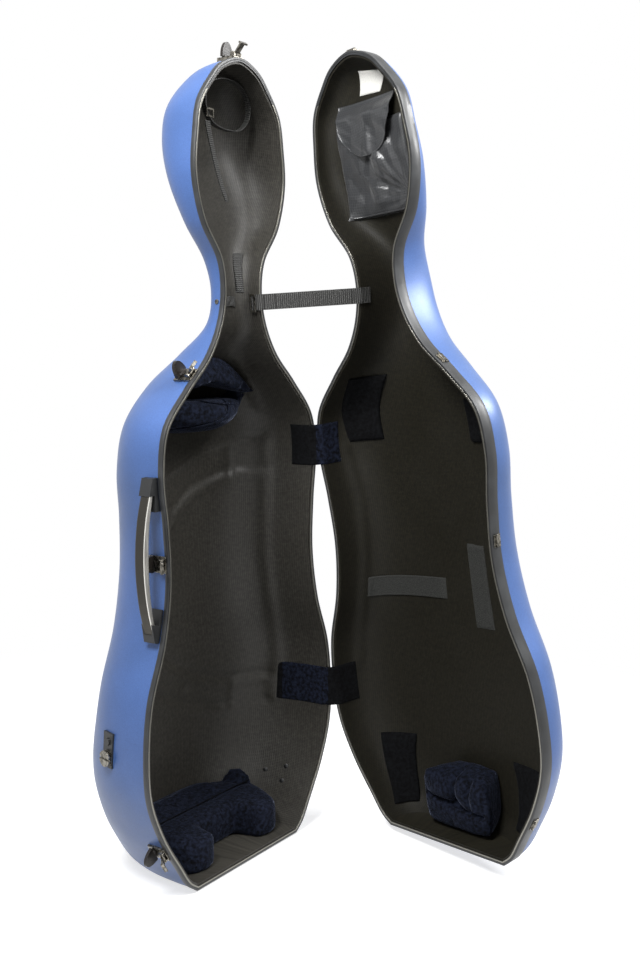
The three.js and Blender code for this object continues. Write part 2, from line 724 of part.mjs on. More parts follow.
function latchSet(name, height) {
  const frame = rimFrame(height, -1);
  const outward = new THREE.Vector3(1, 0, 0);
  const along = new THREE.Vector3(0, 0, 1);
  const origin = new THREE.Vector3();
  const onBody = framed(bodyGroup, "latch_" + name, frame);
  piece(onBody, `latch_${name}_base`, latchBase(frame), nickel());
  const pivot = new THREE.Vector3(pinRise, latch.pinDepth, 0);
  const swing = turned(onBody, `latch_${name}_hook_pivot`, pivot, along, hookOpening);
  piece(swing, `latch_${name}_hook`, latchHook(), nickel());
  const turn = turned(onBody, `latch_${name}_turn_pivot`, origin, outward, 0);
  turn.position.set(plateTop + seatGap, latch.turnDepth, 0);
  piece(turn, `latch_${name}_turn`, latchTurn(), blackPlastic());
  const onLid = framed(lidGroup, "keeper_" + name, frame);
  piece(onLid, `keeper_${name}`, latchKeeper(frame), nickel());
}

// A hinge: leaves with interleaved knuckles on each half, and the pin through them.
function hinge(name, height) {
  const upShare = (height - lowerHingeHeight) / (upperHingeHeight - lowerHingeHeight);
  const place = hingeFoot.clone().lerp(hingeHead, upShare);
  const depthways = new THREE.Vector3(0, 1, 0);
  const frame = new THREE.Matrix4()
    .makeBasis(new THREE.Vector3().crossVectors(depthways, hingeAxis), depthways, hingeAxis)
    .setPosition(place);
  const step = hingeLength / hingeKnuckles;
  const knuckle = (k, radius, bore, extra) => {
    const centre = -hingeLength / 2 + step * (k + 1 / 2);
    return solid(ring(radius, bore, step - seatGap + extra), new THREE.Matrix4().makeTranslation(0, 0, centre));
  };
  const indices = [...Array(hingeKnuckles).keys()];
  const boreRadius = hingePinRadius + hingePinClearance;
  const leafOuter = -bandTop - hingeLeafThickness;
  for (const [half, group, own] of [[body, bodyGroup, 0], [lid, lidGroup, 1]]) {
    const mine = indices.filter((k) => k % 2 === own);
    const others = indices.filter((k) => k % 2 !== own);
    const [y0, y1] = [seatGap, hingeLeafWidth].map((y) => half.side * y).sort((a, b) => a - b);
    const leaf = solid(block(-seatDepth, 0 - seatGap, y0, y1, -hingeLength / 2, hingeLength / 2));
    const [t0, t1] = [hingeBarrelRadius, 2 * hingeLeafWidth].map((y) => half.side * y).sort((a, b) => a - b);
    const trimmed = solid(block(leafOuter + bandTop, seatDepth, t0, t1, -hingeLength, hingeLength));
    const shaped = seated(cut(leaf, trimmed), frame, half);
    const clear = others.map((k) => knuckle(k, hingeBarrelRadius + seatGap, 0, 2 * seatGap));
    const core = solid(ring(boreRadius, 0, 2 * hingeLength));
    const made = join(cut(shaped, ...clear), ...mine.map((k) => knuckle(k, hingeBarrelRadius, 0, 0)));
    const holder = framed(group, "", frame);
    const label = half.side > 0 ? "body" : "lid";
    piece(holder, `hinge_${name}_${label}_leaf`, geometryOf(cut(made, core)), nickel());
  }
  const pinHolder = framed(bodyGroup, "hinge_" + name, frame);
  piece(pinHolder, `hinge_${name}_pin`, ring(hingePinRadius, 0, hingeLength - seatGap), nickel());
}

// Carrying handle: an arched grip between two brackets on the latch side
// Share of the bow's height at a quarter of its length
const bowShare = 3 / 4;
const handleMiddle = placeUp(placeShares.handle);
const handleEnds = { upper: handleMiddle + handle.length / 2, lower: handleMiddle - handle.length / 2 };

function gripPath() {
  const { length, depth, rise, endRise } = handle;
  const quarter = length / 4;
  const point = (z, x) => new THREE.Vector3(x, depth, z);
  const peak = -outline.at(handleMiddle) - rise;
  const ends = { upper: -outline.at(handleEnds.upper) - endRise, lower: -outline.at(handleEnds.lower) - endRise };
  return new THREE.CatmullRomCurve3([
    point(handleEnds.upper, ends.upper),
    point(handleMiddle + quarter, blend(ends.upper, peak, bowShare)),
    point(handleMiddle, peak),
    point(handleMiddle - quarter, blend(ends.lower, peak, bowShare)),
    point(handleEnds.lower, ends.lower),
  ]);
}

// A point of the grip's outer (1) or inner (-1) edge; the grip is thickest at the top of its bow.
function gripEdge(share, side) {
  const path = gripPath();
  const along = path.getTangent(share);
  const out = new THREE.Vector3(along.z, 0, -along.x);
  const thickness = blend(handle.endThickness, handle.gripThickness, Math.sin(Math.PI * share));
  return path.getPoint(share).addScaledVector(out, (side * thickness) / 2);
}

// The grip with rounded edges, grown all round.
function grip(grow) {
  const { gripWidth, gripRound, depth, steps } = handle;
  const shares = [...Array(steps + 1).keys()].map((step) => step / steps);
  const outer = shares.map((share) => gripEdge(share, 1));
  const inner = shares.map((share) => gripEdge(share, -1)).reverse();
  const shape = new THREE.Shape([...outer, ...inner].map((corner) => new THREE.Vector2(corner.x, corner.z)));
  const straight = gripWidth + 2 * (grow - gripRound);
  const rounded = {
    bevelThickness: gripRound, bevelSize: gripRound, bevelOffset: grow - gripRound, bevelSegments: 2,
  };
  const bar = new THREE.ExtrudeGeometry(shape, { depth: straight, ...rounded });
  return sideways(bar, depth + straight / 2);
}

// Turns a form that was drawn along X and Z, and extruded, to run along Y from a depth.
function sideways(bar, depth) {
  bar.applyMatrix4(new THREE.Matrix4().makeBasis(
    new THREE.Vector3(1, 0, 0), new THREE.Vector3(0, 0, 1), new THREE.Vector3(0, -1, 0),
  ));
  return bar.translate(0, depth, 0);
}

// A base on the wall with a cap that wraps an end of the grip and rises along it.
function handleBracket(end, inward) {
  const { bracketLength, bracketWidth, baseRise, bracketWrap, capThickness, capLength, length, depth } = handle;
  const frame = rimFrame(end, -1);
  const toFrame = frame.clone().invert();
  const towardsGrip = Math.sign(new THREE.Vector3(0, 0, 1).transformDirection(toFrame).z) * inward;
  const endAt = -towardsGrip * bracketWrap;
  const capAt = towardsGrip * (capLength - bracketWrap);
  const baseAt = towardsGrip * (bracketLength - bracketWrap);
  const riseAt = (along) => {
    const share = inward < 0 ? along / length : 1 - along / length;
    return gripEdge(share, 1).applyMatrix4(toFrame).x + capThickness;
  };
  const shape = new THREE.Shape();
  shape.moveTo(-seatDepth, baseAt);
  shape.lineTo(baseRise, baseAt);
  shape.lineTo(baseRise, capAt);
  shape.lineTo(riseAt(capLength - bracketWrap), capAt);
  shape.lineTo(riseAt(0), endAt);
  shape.lineTo(-seatDepth, endAt);
  shape.closePath();
  const bar = new THREE.ExtrudeGeometry(shape, { depth: bracketWidth, bevelEnabled: false });
  const placed = solid(sideways(bar, depth + bracketWidth / 2), frame)
    .subtract(bodyEnvelope).subtract(solid(grip(seatGap)));
  return geometryOf(largest(placed));
}

function carryingHandle() {
  piece(bodyGroup, "handle_grip", grip(0), brushedMetal());
  piece(bodyGroup, "handle_bracket_upper", handleBracket(handleEnds.upper, -1), blackPlastic());
  piece(bodyGroup, "handle_bracket_lower", handleBracket(handleEnds.lower, 1), blackPlastic());
}

// A frame on a half's outer wall: X along the wall's normal, Z up along the wall.
function wallFrame(half, height, angle) {
  const here = wallPoint(half, height, angle, 0);
  const up = wallPoint(half, height + seatGap, angle, 0).sub(here);
  const round = wallPoint(half, height, angle + seatGap / boutHalfWidth, 0).sub(here);
  const out = new THREE.Vector3().crossVectors(up, round).normalize();
  if (out.dot(new THREE.Vector3(here.x, here.y, 0)) < 0) out.negate();
  up.normalize();
  const across = new THREE.Vector3().crossVectors(up, out);
  return new THREE.Matrix4().makeBasis(out, across, up).setPosition(here);
}

function angleAtDepth(half, depth, height, side) {
  const share = (depth - edgePlane) / half.depth.at(height);
  const angle = Math.asin(share ** (sectionFullness / 2));
  return side > 0 ? angle : Math.PI - angle;
}

function strapStud() {
  const height = placeUp(placeShares.strapStud);
  const frame = wallFrame(body, height, angleAtDepth(body, stud.depth, height, -1));
  const { plateWidth, plateLength, plateThickness, headRadius, headHeight, slotWidth, slotDepth } = stud;
  const low = -headRadius - plateThickness;
  const plateShape = solid(
    block(-seatDepth, plateThickness + seatGap, -plateWidth / 2, plateWidth / 2, low, low + plateLength),
  );
  const plate = seated(plateShape, frame, body);
  const disc = (radius, tall, rise) =>
    ring(radius, 0, tall).rotateY(Math.PI / 2).translate(plateThickness + 2 * seatGap + tall / 2, 0, rise);
  const holder = framed(bodyGroup, "strap_stud_place", frame);
  const button = solid(
    disc(stud.buttonRadius, stud.buttonHeight, stud.buttonRise).translate(-2 * seatGap, 0, 0),
  );
  piece(holder, "strap_stud_plate", geometryOf(join(plate, button)), blackPlastic());
  const top = plateThickness + 2 * seatGap + headHeight;
  const slot = solid(
    block(top - slotDepth, top + slotDepth, -2 * headRadius, 2 * headRadius, -slotWidth / 2, slotWidth / 2),
  );
  const grooveRadius = headRadius * stud.waistShare;
  const head = cut(solid(disc(headRadius, headHeight, 0)), slot);
  const waist = solid(
    ring(2 * headRadius, grooveRadius, headHeight / 3)
      .rotateY(Math.PI / 2)
      .translate(plateThickness + 2 * seatGap + headHeight / 3, 0, 0),
  );
  piece(holder, "strap_stud", geometryOf(cut(head, waist)), blackPlastic());
}

function strapBracketOn(group, half, name) {
  const { depth, size, thickness, lugLength, lugWidth, lugRise, lugHole } = strapBracket;
  const height = placeUp(placeShares.strapBracket);
  const frame = wallFrame(half, height, angleAtDepth(half, depth, height, 1));
  const plate = seated(
    solid(block(-seatDepth, thickness + seatGap, -size / 2, size / 2, -size / 2, size / 2)), frame, half,
  );
  const lug = solid(
    block(thickness, thickness + lugRise, -lugWidth / 2, lugWidth / 2, -lugLength / 2, lugLength / 2),
  );
  const hole = solid(
    ring(lugHole / 2 + seatGap, 0, 2 * lugWidth)
      .rotateX(Math.PI / 2)
      .translate(thickness + lugRise / 2 + seatGap, 0, 0),
  );
  piece(framed(group, "", frame), name, geometryOf(cut(join(plate, lug), hole)), nickel());
}

function rivetOnNeck() {
  const height = placeUp(placeShares.neckRivet);
  const frame = wallFrame(body, height, angleAtDepth(body, neckRivet.depth, height, -1));
  const head = solid(ring(neckRivet.radius, 0, 2 * neckRivet.rise).rotateY(Math.PI / 2));
  piece(framed(bodyGroup, "", frame), "neck_rivet", geometryOf(seated(head, frame, body)), nickel());
}

const smooth = (value, from, to) => THREE.MathUtils.smoothstep(value, from, to);
const blend = (a, b, share) => a + (b - a) * share;

// A cushion lying against a half's lining. Each row has its places across, and a height and a front depth at each.
function wallCushion(half, rows) {
  const front = [];
  const back = [];
  for (const { places, height, depth } of rows) {
    const points = places.map((x) => {
      const z = height(x);
      const wall = wallDepth(half, x, z, padInset);
      return [Math.min(depth(x, z, wall), wall - seatGap), wall + liningThickness].map(
        (y) => new THREE.Vector3(x, half.side * y, z),
      );
    });
    front.push(points.map((p) => p[0]));
    back.push(points.map((p) => p[1]));
  }
  return onLining(half, betweenGrids(front, back));
}

const mirroredPlaces = (places) => [...places.slice(1).reverse().map((x) => -x), ...places];

// How far across a cushion reaches at a height before its front meets the wall.
function reachAcross(half, z, from, depth) {
  let low = from;
  let high = outline.at(z, padInset);
  for (let i = 0; i < levels; i++) {
    const middle = (low + high) / 2;
    if (wallDepth(half, middle, z, padInset) - depth(middle) > bottomCushion.round) low = middle;
    else high = middle;
  }
  return low;
}

// Two round-nosed lobes either side of a recess, flaring back to the walls.
function lobeDepth(x) {
  const { recessHalfWidth, recessDepth, noseInner, noseOuter, noseDepth, noseRound } = bottomCushion;
  const u = Math.abs(x);
  const nose = noseDepth + noseRound * ((2 * u - noseInner - noseOuter) / (noseOuter - noseInner)) ** 2;
  const inside = blend(recessDepth, nose, smooth(u, recessHalfWidth, noseInner));
  const flare = Math.max(u - noseOuter, 0) / bottomCushion.flareWidth;
  const kept = u > noseOuter ? noseDepth + noseRound : inside;
  return kept + bottomCushion.flareDepth * flare ** bottomCushion.flarePower;
}

function bottomCushionRows() {
  const { top, round, recessHalfWidth, noseInner, noseOuter, stripThickness, stripDepth } = bottomCushion;
  const floor = shellBase + padInset;
  const noseMiddle = (noseInner + noseOuter) / 2;
  const quarter = (noseOuter - noseInner) / 4;
  const inner = [
    0, recessHalfWidth / 2, recessHalfWidth, (recessHalfWidth + noseInner) / 2, noseInner,
    noseMiddle - quarter, noseMiddle, noseMiddle + quarter, noseOuter,
  ];
  const row = (z, height, depth) => {
    const reach = reachAcross(body, z, noseOuter, lobeDepth);
    const step = (reach - noseOuter) / 3;
    return { places: mirroredPlaces([...inner, noseOuter + step, reach - step, reach]), height, depth };
  };
  const flat = (z, inset) => row(z, () => z, (x) => lobeDepth(x) + inset);
  const blockRows = [
    flat(floor, round / 2), flat(floor + round, 0), flat((floor + top) / 2, 0), flat(top - round, 0),
    flat(top - round / 3, round / 3), flat(top, round),
  ];
  const rise = (x) => {
    const { notchPlace, notchHalfWidth } = bottomCushion;
    const beside = smooth(x, notchPlace - notchHalfWidth, notchPlace + notchHalfWidth);
    const tall = blend(bottomCushion.leftRise, bottomCushion.rightRise, beside);
    const notch = 1 - smooth(Math.abs(x - notchPlace), notchHalfWidth, 2 * notchHalfWidth);
    return blend(tall, bottomCushion.notchRise, notch);
  };
  const strip = (share, inset) => {
    const height = (x) => blend(top + seatGap, rise(x), share);
    const front = (wall) => blend(Math.min(wall - stripThickness, stripDepth), wall - stripThickness, share);
    return row(top, height, (x, z, wall) => Math.max(front(wall) + inset, lobeDepth(x) + round));
  };
  return [...blockRows, strip(0, 0), strip(1 / 3, 0), strip(3 / 4, 0), strip(1, stripThickness / 2)];
}

// A collar under the neck: a sloping lower pad with a ledge, a recess above it and an arched hood.
function shoulderCushionRows() {
  const c = shoulderCushion;
  const middle = placeUp(placeShares.shoulderLedge);
  const out = (x) => Math.abs(x) / c.halfWidth;
  const beyond = (x, from, to) => Math.max(Math.abs(x) - from, 0) / (to - from);
  const bottom = (x) => middle - c.padHeight + c.bottomLift * Math.min(beyond(x, 0, c.bottomLiftWidth), 1) ** c.liftPower;
  const ledge = (x) => Math.max(middle, bottom(x) + c.round);
  const roof = (x) => Math.max(middle + c.recessHeight - c.undersideDrop * out(x) ** (4 / 5), ledge(x) + c.round);
  const drop = (x) => c.crownDrop * beyond(x, c.crownFlat, c.halfWidth) ** (3 / 2);
  const top = (x) => Math.max(middle + c.recessHeight + c.hoodHeight - drop(x), roof(x) + c.round);
  const places = mirroredPlaces(c.acrossShares.map((share) => share * c.halfWidth));
  const lip = (front, sweep, x, wall) => Math.min(front + sweep * out(x) ** 2, wall - c.skin);
  const inRecess = (x) => 1 - smooth(Math.abs(x), c.recessHalfWidth - c.round, c.recessHalfWidth + c.round);
  const ledgeFront = (x, wall) => lip(c.ledgeFront, c.ledgeSweep, x, wall);
  const hoodFront = (x, wall) => lip(c.hoodFront, c.hoodSweep, x, wall);
  const pad = (share) => ({
    places,
    height: (x) => blend(bottom(x), ledge(x), share),
    depth: (x, z, wall) => blend(ledgeFront(x, wall), wall - c.skin, (1 - share) ** c.undercutPower),
  });
  const recess = (share) => ({
    places,
    height: (x) => blend(ledge(x) + seatGap, roof(x) - seatGap, share),
    depth: (x, z, wall) => blend(ledgeFront(x, wall), wall - c.skin, inRecess(x)),
  });
  const hood = (share) => ({
    places,
    height: (x) => blend(roof(x), top(x), share),
    depth: (x, z, wall) => blend(hoodFront(x, wall), wall - c.skin, share ** (5 / 2)),
  });
  return [...c.padShares.map(pad), ...c.recessShares.map(recess), ...c.hoodShares.map(hood)];
}

function bodyCushions() {
  piece(bodyGroup, "bottom_cushion", wallCushion(body, bottomCushionRows()), velvet());
  piece(bodyGroup, "shoulder_cushion", wallCushion(body, shoulderCushionRows()), velvet());
}

function lidBottomCushion() {
  const { low, high, left, right, depth, cornerShare, backShare, groove, grooveWidth, round } = lidCushion;
  const [rowSteps, columnSteps] = [12, 16];
  const [cx, cz] = [(left + right) / 2, (low + high) / 2];
  const [a, b] = [(right - left) / 2, (high - low) / 2];
  const dent = (distance) => Math.exp(-((distance / grooveWidth) ** 2));
  const front = [];
  const back = [];
  for (let r = 0; r <= rowSteps; r++) {
    front.push([]);
    back.push([]);
    for (let c = 0; c <= columnSteps; c++) {
      const u = Math.sin(((2 * c) / columnSteps - 1) * (Math.PI / 2));
      const v = Math.sin(((2 * r) / rowSteps - 1) * (Math.PI / 2));
      const x = cx + a * u * Math.sqrt(1 - cornerShare * v * v);
      const z = Math.max(cz + b * v * Math.sqrt(1 - cornerShare * u * u), shellBase + padInset + seatGap);
      const crown = (1 - u ** 6) * (1 - v ** 6);
      const { slitTilt, slitHalfLength } = lidCushion;
      const slitEnd = 1 - smooth(Math.abs(x - cx), slitHalfLength - round, slitHalfLength);
      const slit = dent(z - cz + (x - cx) * slitTilt) * slitEnd;
      const clefts = lidCushion.cleftPlaces.map((place) => dent(x - place) * smooth(z, cz, cz + round));
      const hole = 1 - smooth(Math.hypot(x - lidCushion.cleftPlaces[0], z - cz), 0, lidCushion.holeRadius);
      const dip = Math.max(slit, ...clefts) * groove + hole * groove;
      front[r].push(new THREE.Vector3(x, -(depth + round * (1 - crown) + dip * crown), z));
      const backX = blend(cx, x, backShare);
      back[r].push(new THREE.Vector3(backX, -(wallDepth(lid, backX, z, padInset) + liningThickness), z));
    }
  }
  piece(lidGroup, "lid_cushion", onLining(lid, betweenGrids(front, back)), velvet());
}

// A pad or strip lying on a half's lining between two heights and, at each, two angles.
function liningPad(half, pad, thickness) {
  const { upShares, lowAngles, highAngles, rows, columns } = pad;
  const grid = (inset) =>
    [...Array(rows + 1).keys()].map((r) => {
      const z = placeUp(blend(...upShares, r / rows));
      const from = blend(lowAngles[0], highAngles[0], r / rows);
      const to = blend(lowAngles[1], highAngles[1], r / rows);
      return [...Array(columns + 1).keys()].map((c) =>
        wallPoint(half, z, THREE.MathUtils.degToRad(blend(from, to, c / columns)), inset),
      );
    });
  return onLining(half, betweenGrids(grid(padInset + thickness), grid(liningOuter)));
}

function lidPads() {
  for (const pad of lidPadShares) piece(lidGroup, pad.name, liningPad(lid, pad, padThicknessSoft), velvet());
  for (const strip of lidHookStripShares) {
    piece(lidGroup, strip.name, liningPad(lid, strip, hookStripThickness), webbing());
  }
}

// A grid of points from a function of the share down and the share across.
function gridOf(rows, columns, point) {
  const shares = (count) => [...Array(count + 1).keys()].map((i) => i / count);
  return shares(rows).map((down) => shares(columns).map((across) => point(down, across)));
}

function lidPocket() {
  const { left, right, edge, bulge, steps } = pocket;
  const low = placeUp(placeShares.pocket) - pocket.height / 2;
  const inside = (x, z) => {
    const reach = outline.at(z, padInset) - edge;
    return THREE.MathUtils.clamp(x, -reach, reach);
  };
  const onLid = (x, z, lift) => new THREE.Vector3(x, lift - wallDepth(lid, x, z, padInset), z);
  const bag = (full) =>
    gridOf(steps, steps, (up, across) => {
      const z = low + pocket.height * up;
      const fill = Math.sqrt(Math.sin(Math.PI * up) * Math.sin(Math.PI * across));
      return onLid(inside(blend(left, right, across), z), z, full * (edge + bulge * fill));
    });
  piece(lidGroup, "pocket", onLining(lid, betweenGrids(bag(1), bag(0))), nylon());
  const flapTop = low + pocket.height + flap.overhang;
  const clear = edge + bulge + 2 * seatGap;
  const cloth = (extra) =>
    gridOf(steps, steps, (down, across) => {
      const z = flapTop - flap.length * down;
      const wide = blend(flap.halfWidth, edge, down ** 2);
      const lift = blend(seatGap, clear, smooth(flapTop - z, 0, flap.run));
      return onLid(inside((left + right) / 2 + wide * (2 * across - 1), z), z, lift + extra);
    });
  piece(lidGroup, "pocket_flap", onLining(lid, betweenGrids(cloth(flap.thickness), cloth(0))), nylon());
}

// A flat band along a path: its width lies along a given direction and can change on the way.
function flatBand(path, widthways, widthAt, thickness) {
  const face = [];
  const back = [];
  path.forEach((point, i) => {
    const before = path[Math.max(i - 1, 0)];
    const after = path[Math.min(i + 1, path.length - 1)];
    const along = after.clone().sub(before).normalize();
    const normal = new THREE.Vector3().crossVectors(along, widthways).normalize();
    const halfWidth = widthAt(i / (path.length - 1)) / 2;
    const sides = [-1, 1].map((s) => point.clone().addScaledVector(widthways, s * halfWidth));
    face.push(sides.map((p) => p.clone().addScaledVector(normal, thickness / 2)));
    back.push(sides.map((p) => p.clone().addScaledVector(normal, -thickness / 2)));
  });
  return betweenGrids(face, back);
}

function stay() {
  const { width, thickness, tail, overRim } = stayStrap;
  const height = placeUp(placeShares.stay);
  const inset = padInset + thickness / 2 + seatGap;
  const anchors = (half) => {
    const start = angleAtDepth(half, edgePlane + tail, height, 1);
    return [start, start / 2, 0].map((angle) => wallPoint(half, height, angle, inset));
  };
  const edge = outline.at(height, inset);
  const bodySide = [...anchors(body), new THREE.Vector3(edge, -overRim, height)];
  const lidSide = [...anchors(lid), new THREE.Vector3(edge, overRim, height)];
  const opened = lidSide.map((p) => p.clone().applyMatrix4(lidOpen)).reverse();
  const band = flatBand([...bodySide, ...opened], hingeAxis, () => width, thickness);
  piece(bodyGroup, "stay_strap", lining(band, bodyJacket, openLidJacket), webbing());
}

// A soft cover over a hinge, lying on both linings and crossing between the rims.
function hingeCover(name, hingeHeight, cover) {
  const heights = [-1, 0, 1].map((s) => hingeHeight + cover.riseOverHinge + (s * coverSpan) / 2);
  const station = (half, z, reach, wallInset, rimInset) => {
    const start = angleAtDepth(half, edgePlane + reach, z, 1);
    return coverStationShares.map((share) => wallPoint(half, z, start * share, share > 0 ? wallInset : rimInset));
  };
  const grid = (wallInset, rimInset) =>
    heights.map((z) => {
      const bodySide = station(body, z, cover.bodyReach, wallInset, rimInset);
      const lidSide = station(lid, z, cover.lidReach, wallInset, rimInset).map((p) => p.applyMatrix4(lidOpen));
      return [...bodySide, ...lidSide.reverse()];
    });
  const face = grid(padInset + coverThickness + chordAllowance, padInset + coverThickness);
  const sheet = betweenGrids(face, grid(liningOuter, padInset));
  piece(bodyGroup, `hinge_cover_${name}`, lining(sheet, bodyJacket, openLidJacket), velvet());
}

// A strap loop under the crown that holds the scroll, and its free end.
const loopTop = caseHeight - scrollLoop.crownGap;
const loopBottom = loopTop - scrollLoop.height;

function loopRing(grow, y) {
  const { left, right, corner, steps, height } = scrollLoop;
  const [a, b] = [(right - left) / 2, height / 2];
  const fullness = 1 - corner / (2 * (a + b));
  return [...Array(steps).keys()].map((i) => {
    const angle = (2 * Math.PI * i) / steps;
    const [c, s] = [Math.cos(angle), Math.sin(angle)];
    const x = (left + right) / 2 + (a + grow) * Math.sign(c) * Math.abs(c) ** fullness;
    return new THREE.Vector3(x, y, loopBottom + b + (b + grow) * Math.sign(s) * Math.abs(s) ** fullness);
  });
}

function scrollStrap() {
  const { depth, width, thickness, left } = scrollLoop;
  const loop = throughRings([
    loopRing(0, depth), loopRing(thickness, depth), loopRing(thickness, depth + width), loopRing(0, depth + width),
  ]);
  piece(bodyGroup, "scroll_strap", onLining(body, loop), webbing());
  const { station, length, lean, drift, steps } = scrollTail;
  const top = loopRing(thickness / 2, depth - seatGap - scrollTail.thickness / 2)[station];
  const path = [...Array(steps).keys()].map((i) => {
    const share = i / (steps - 1);
    return top.clone().add(new THREE.Vector3(drift * share ** 2, -lean * share, -length * share));
  });
  const widthAt = (share) => blend(scrollTail.width, scrollTail.tipWidth, share);
  const band = flatBand(path, new THREE.Vector3(1, 0, 0), widthAt, scrollTail.thickness);
  piece(bodyGroup, "scroll_strap_tail", onLining(body, band), webbing());
  const slideFoot = (scrollSlide.drop + scrollSlide.height / 2) / length;
  const front = top.y - scrollTail.thickness / 2 - seatGap - lean * slideFoot;
  const centre = new THREE.Vector3(top.x, front - scrollSlide.thickness, top.z - scrollSlide.drop);
  piece(bodyGroup, "scroll_strap_slide", geometryOf(slideFrame(scrollSlide, centre)), nickel());
}

// A flat frame, standing upright, that webbing passes through: its back face's centre is given.
function slideFrame({ width, height, thickness, bar }, centre) {
  const plate = (margin, overrun) =>
    solid(
      block(
        centre.x - width / 2 + margin, centre.x + width / 2 - margin, centre.y - overrun, centre.y + thickness + overrun,
        centre.z - height / 2 + margin, centre.z + height / 2 - margin,
      ),
    );
  return cut(plate(0, 0), plate(bar, thickness));
}

// The strap round the neck: a stitched-on end up the wall, a band across behind the neck, and a slide.
function neckStrap() {
  const middle = placeUp(placeShares.neckTab);
  const [low, high] = [middle - neckTab.height / 2, middle + neckTab.height / 2];
  const spread = neckTab.width / outline.at(middle, padInset) / 2;
  const tab = (inset) =>
    gridOf(2, 2, (up, across) =>
      wallPoint(body, blend(low, high, up), neckTab.angle + (2 * across - 1) * spread, inset));
  const tabGrids = [tab(padInset + neckTab.thickness), tab(liningOuter)];
  piece(bodyGroup, "neck_strap", onLining(body, betweenGrids(...tabGrids)), webbing());
  const bandMiddle = placeUp(placeShares.stay);
  const band = (inset) =>
    gridOf(1, neckBand.steps, (up, across) =>
      wallPoint(body, bandMiddle + neckBand.width * (up - 1 / 2), blend(...neckBand.angles, across), inset));
  const bandGrids = [band(padInset + neckBand.thickness), band(liningOuter)];
  piece(bodyGroup, "neck_strap_band", onLining(body, betweenGrids(...bandGrids)), webbing());
}

// The slide that the stay passes through, lying on the stay's end inside the rim.
function neckSlide() {
  const middle = placeUp(placeShares.stay);
  const { height, width, thickness, bar, depth } = slide;
  const under = padInset + stayStrap.thickness + chordAllowance;
  const frameOf = (margin, from, to) => {
    const at = (inset) =>
      gridOf(1, 2, (up, across) => {
        const y = depth + margin + (width - 2 * margin) * across;
        const z = middle + (height - 2 * margin) * (up - 1 / 2);
        return wallPoint(body, z, angleAtDepth(body, y, z, 1), inset);
      });
    return solid(betweenGrids(at(to), at(from)));
  };
  const made = cut(frameOf(0, under, under + thickness), frameOf(bar, liningOuter, under + 2 * thickness));
  piece(bodyGroup, "neck_strap_slide", geometryOf(made), nickel());
}

halfCase(bodyGroup, body, "body");
halfCase(lidGroup, lid, "lid");
basePad();
latchSet("top", caseHeight);
latchSet("shoulder", placeUp(placeShares.shoulderLatch));
latchSet("waist", placeUp(placeShares.waistLatch));
latchSet("corner", placeUp(placeShares.cornerLatch));
hinge("lower", lowerHingeHeight);
hinge("upper", upperHingeHeight);
carryingHandle();
strapStud();
strapBracketOn(bodyGroup, body, "strap_bracket_body");
strapBracketOn(lidGroup, lid, "strap_bracket_lid");
rivetOnNeck();
bodyCushions();
lidBottomCushion();
lidPads();
lidPocket();
stay();
hingeCover("upper", upperHingeHeight, upperCover);
hingeCover("lower", lowerHingeHeight, lowerCover);
scrollStrap();
neckStrap();
neckSlide();

export default assembly;
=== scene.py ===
"""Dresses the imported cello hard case: shells, linings, cushions, webbing and metalwork in their finishes."""
import json
import logging
import math
from dataclasses import dataclass, field
from enum import Enum
from functools import partial
from typing import Callable, Sequence

import bmesh
import bpy
import numpy as np
from mathutils import Matrix, Vector
from mathutils.bvhtree import BVHTree


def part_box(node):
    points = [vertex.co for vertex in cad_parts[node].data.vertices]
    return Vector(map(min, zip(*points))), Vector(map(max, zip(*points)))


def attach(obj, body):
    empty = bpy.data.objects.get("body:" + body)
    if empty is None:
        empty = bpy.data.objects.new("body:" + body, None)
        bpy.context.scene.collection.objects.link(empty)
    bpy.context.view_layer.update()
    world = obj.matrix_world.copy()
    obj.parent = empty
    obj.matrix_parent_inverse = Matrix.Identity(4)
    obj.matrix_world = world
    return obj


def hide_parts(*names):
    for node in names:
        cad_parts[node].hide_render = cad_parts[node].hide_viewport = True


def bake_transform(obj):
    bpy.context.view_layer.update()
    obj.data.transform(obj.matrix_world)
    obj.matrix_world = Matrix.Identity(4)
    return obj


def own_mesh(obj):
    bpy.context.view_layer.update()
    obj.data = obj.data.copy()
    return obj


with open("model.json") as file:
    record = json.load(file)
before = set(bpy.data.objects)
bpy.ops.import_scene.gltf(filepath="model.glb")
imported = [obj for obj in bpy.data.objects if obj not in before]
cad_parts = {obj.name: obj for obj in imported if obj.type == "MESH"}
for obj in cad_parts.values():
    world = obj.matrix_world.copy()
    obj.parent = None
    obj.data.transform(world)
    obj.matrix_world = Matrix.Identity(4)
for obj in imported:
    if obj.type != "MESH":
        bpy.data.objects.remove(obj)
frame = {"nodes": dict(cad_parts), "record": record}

LOG = logging.getLogger("cello_case")
MM = 0.001

Points = np.ndarray
Place = tuple[float, float, float]
Piece = bpy.types.Object
Material = bpy.types.Material
Tree = bpy.types.NodeTree
Node = bpy.types.Node
Socket = bpy.types.NodeSocket


def linear(code: str) -> tuple[float, float, float, float]:
    """Turns an sRGB hex colour into a linear one.

    Args:
        code: The colour as "#rrggbb".

    Returns:
        Linear red, green, blue, and an alpha of one.
    """
    values = [int(code[i : i + 2], 16) / 255 for i in (1, 3, 5)]
    red, green, blue = [v / 12.92 if v <= 0.04045 else ((v + 0.055) / 1.055) ** 2.4 for v in values]
    return red, green, blue, 1.0


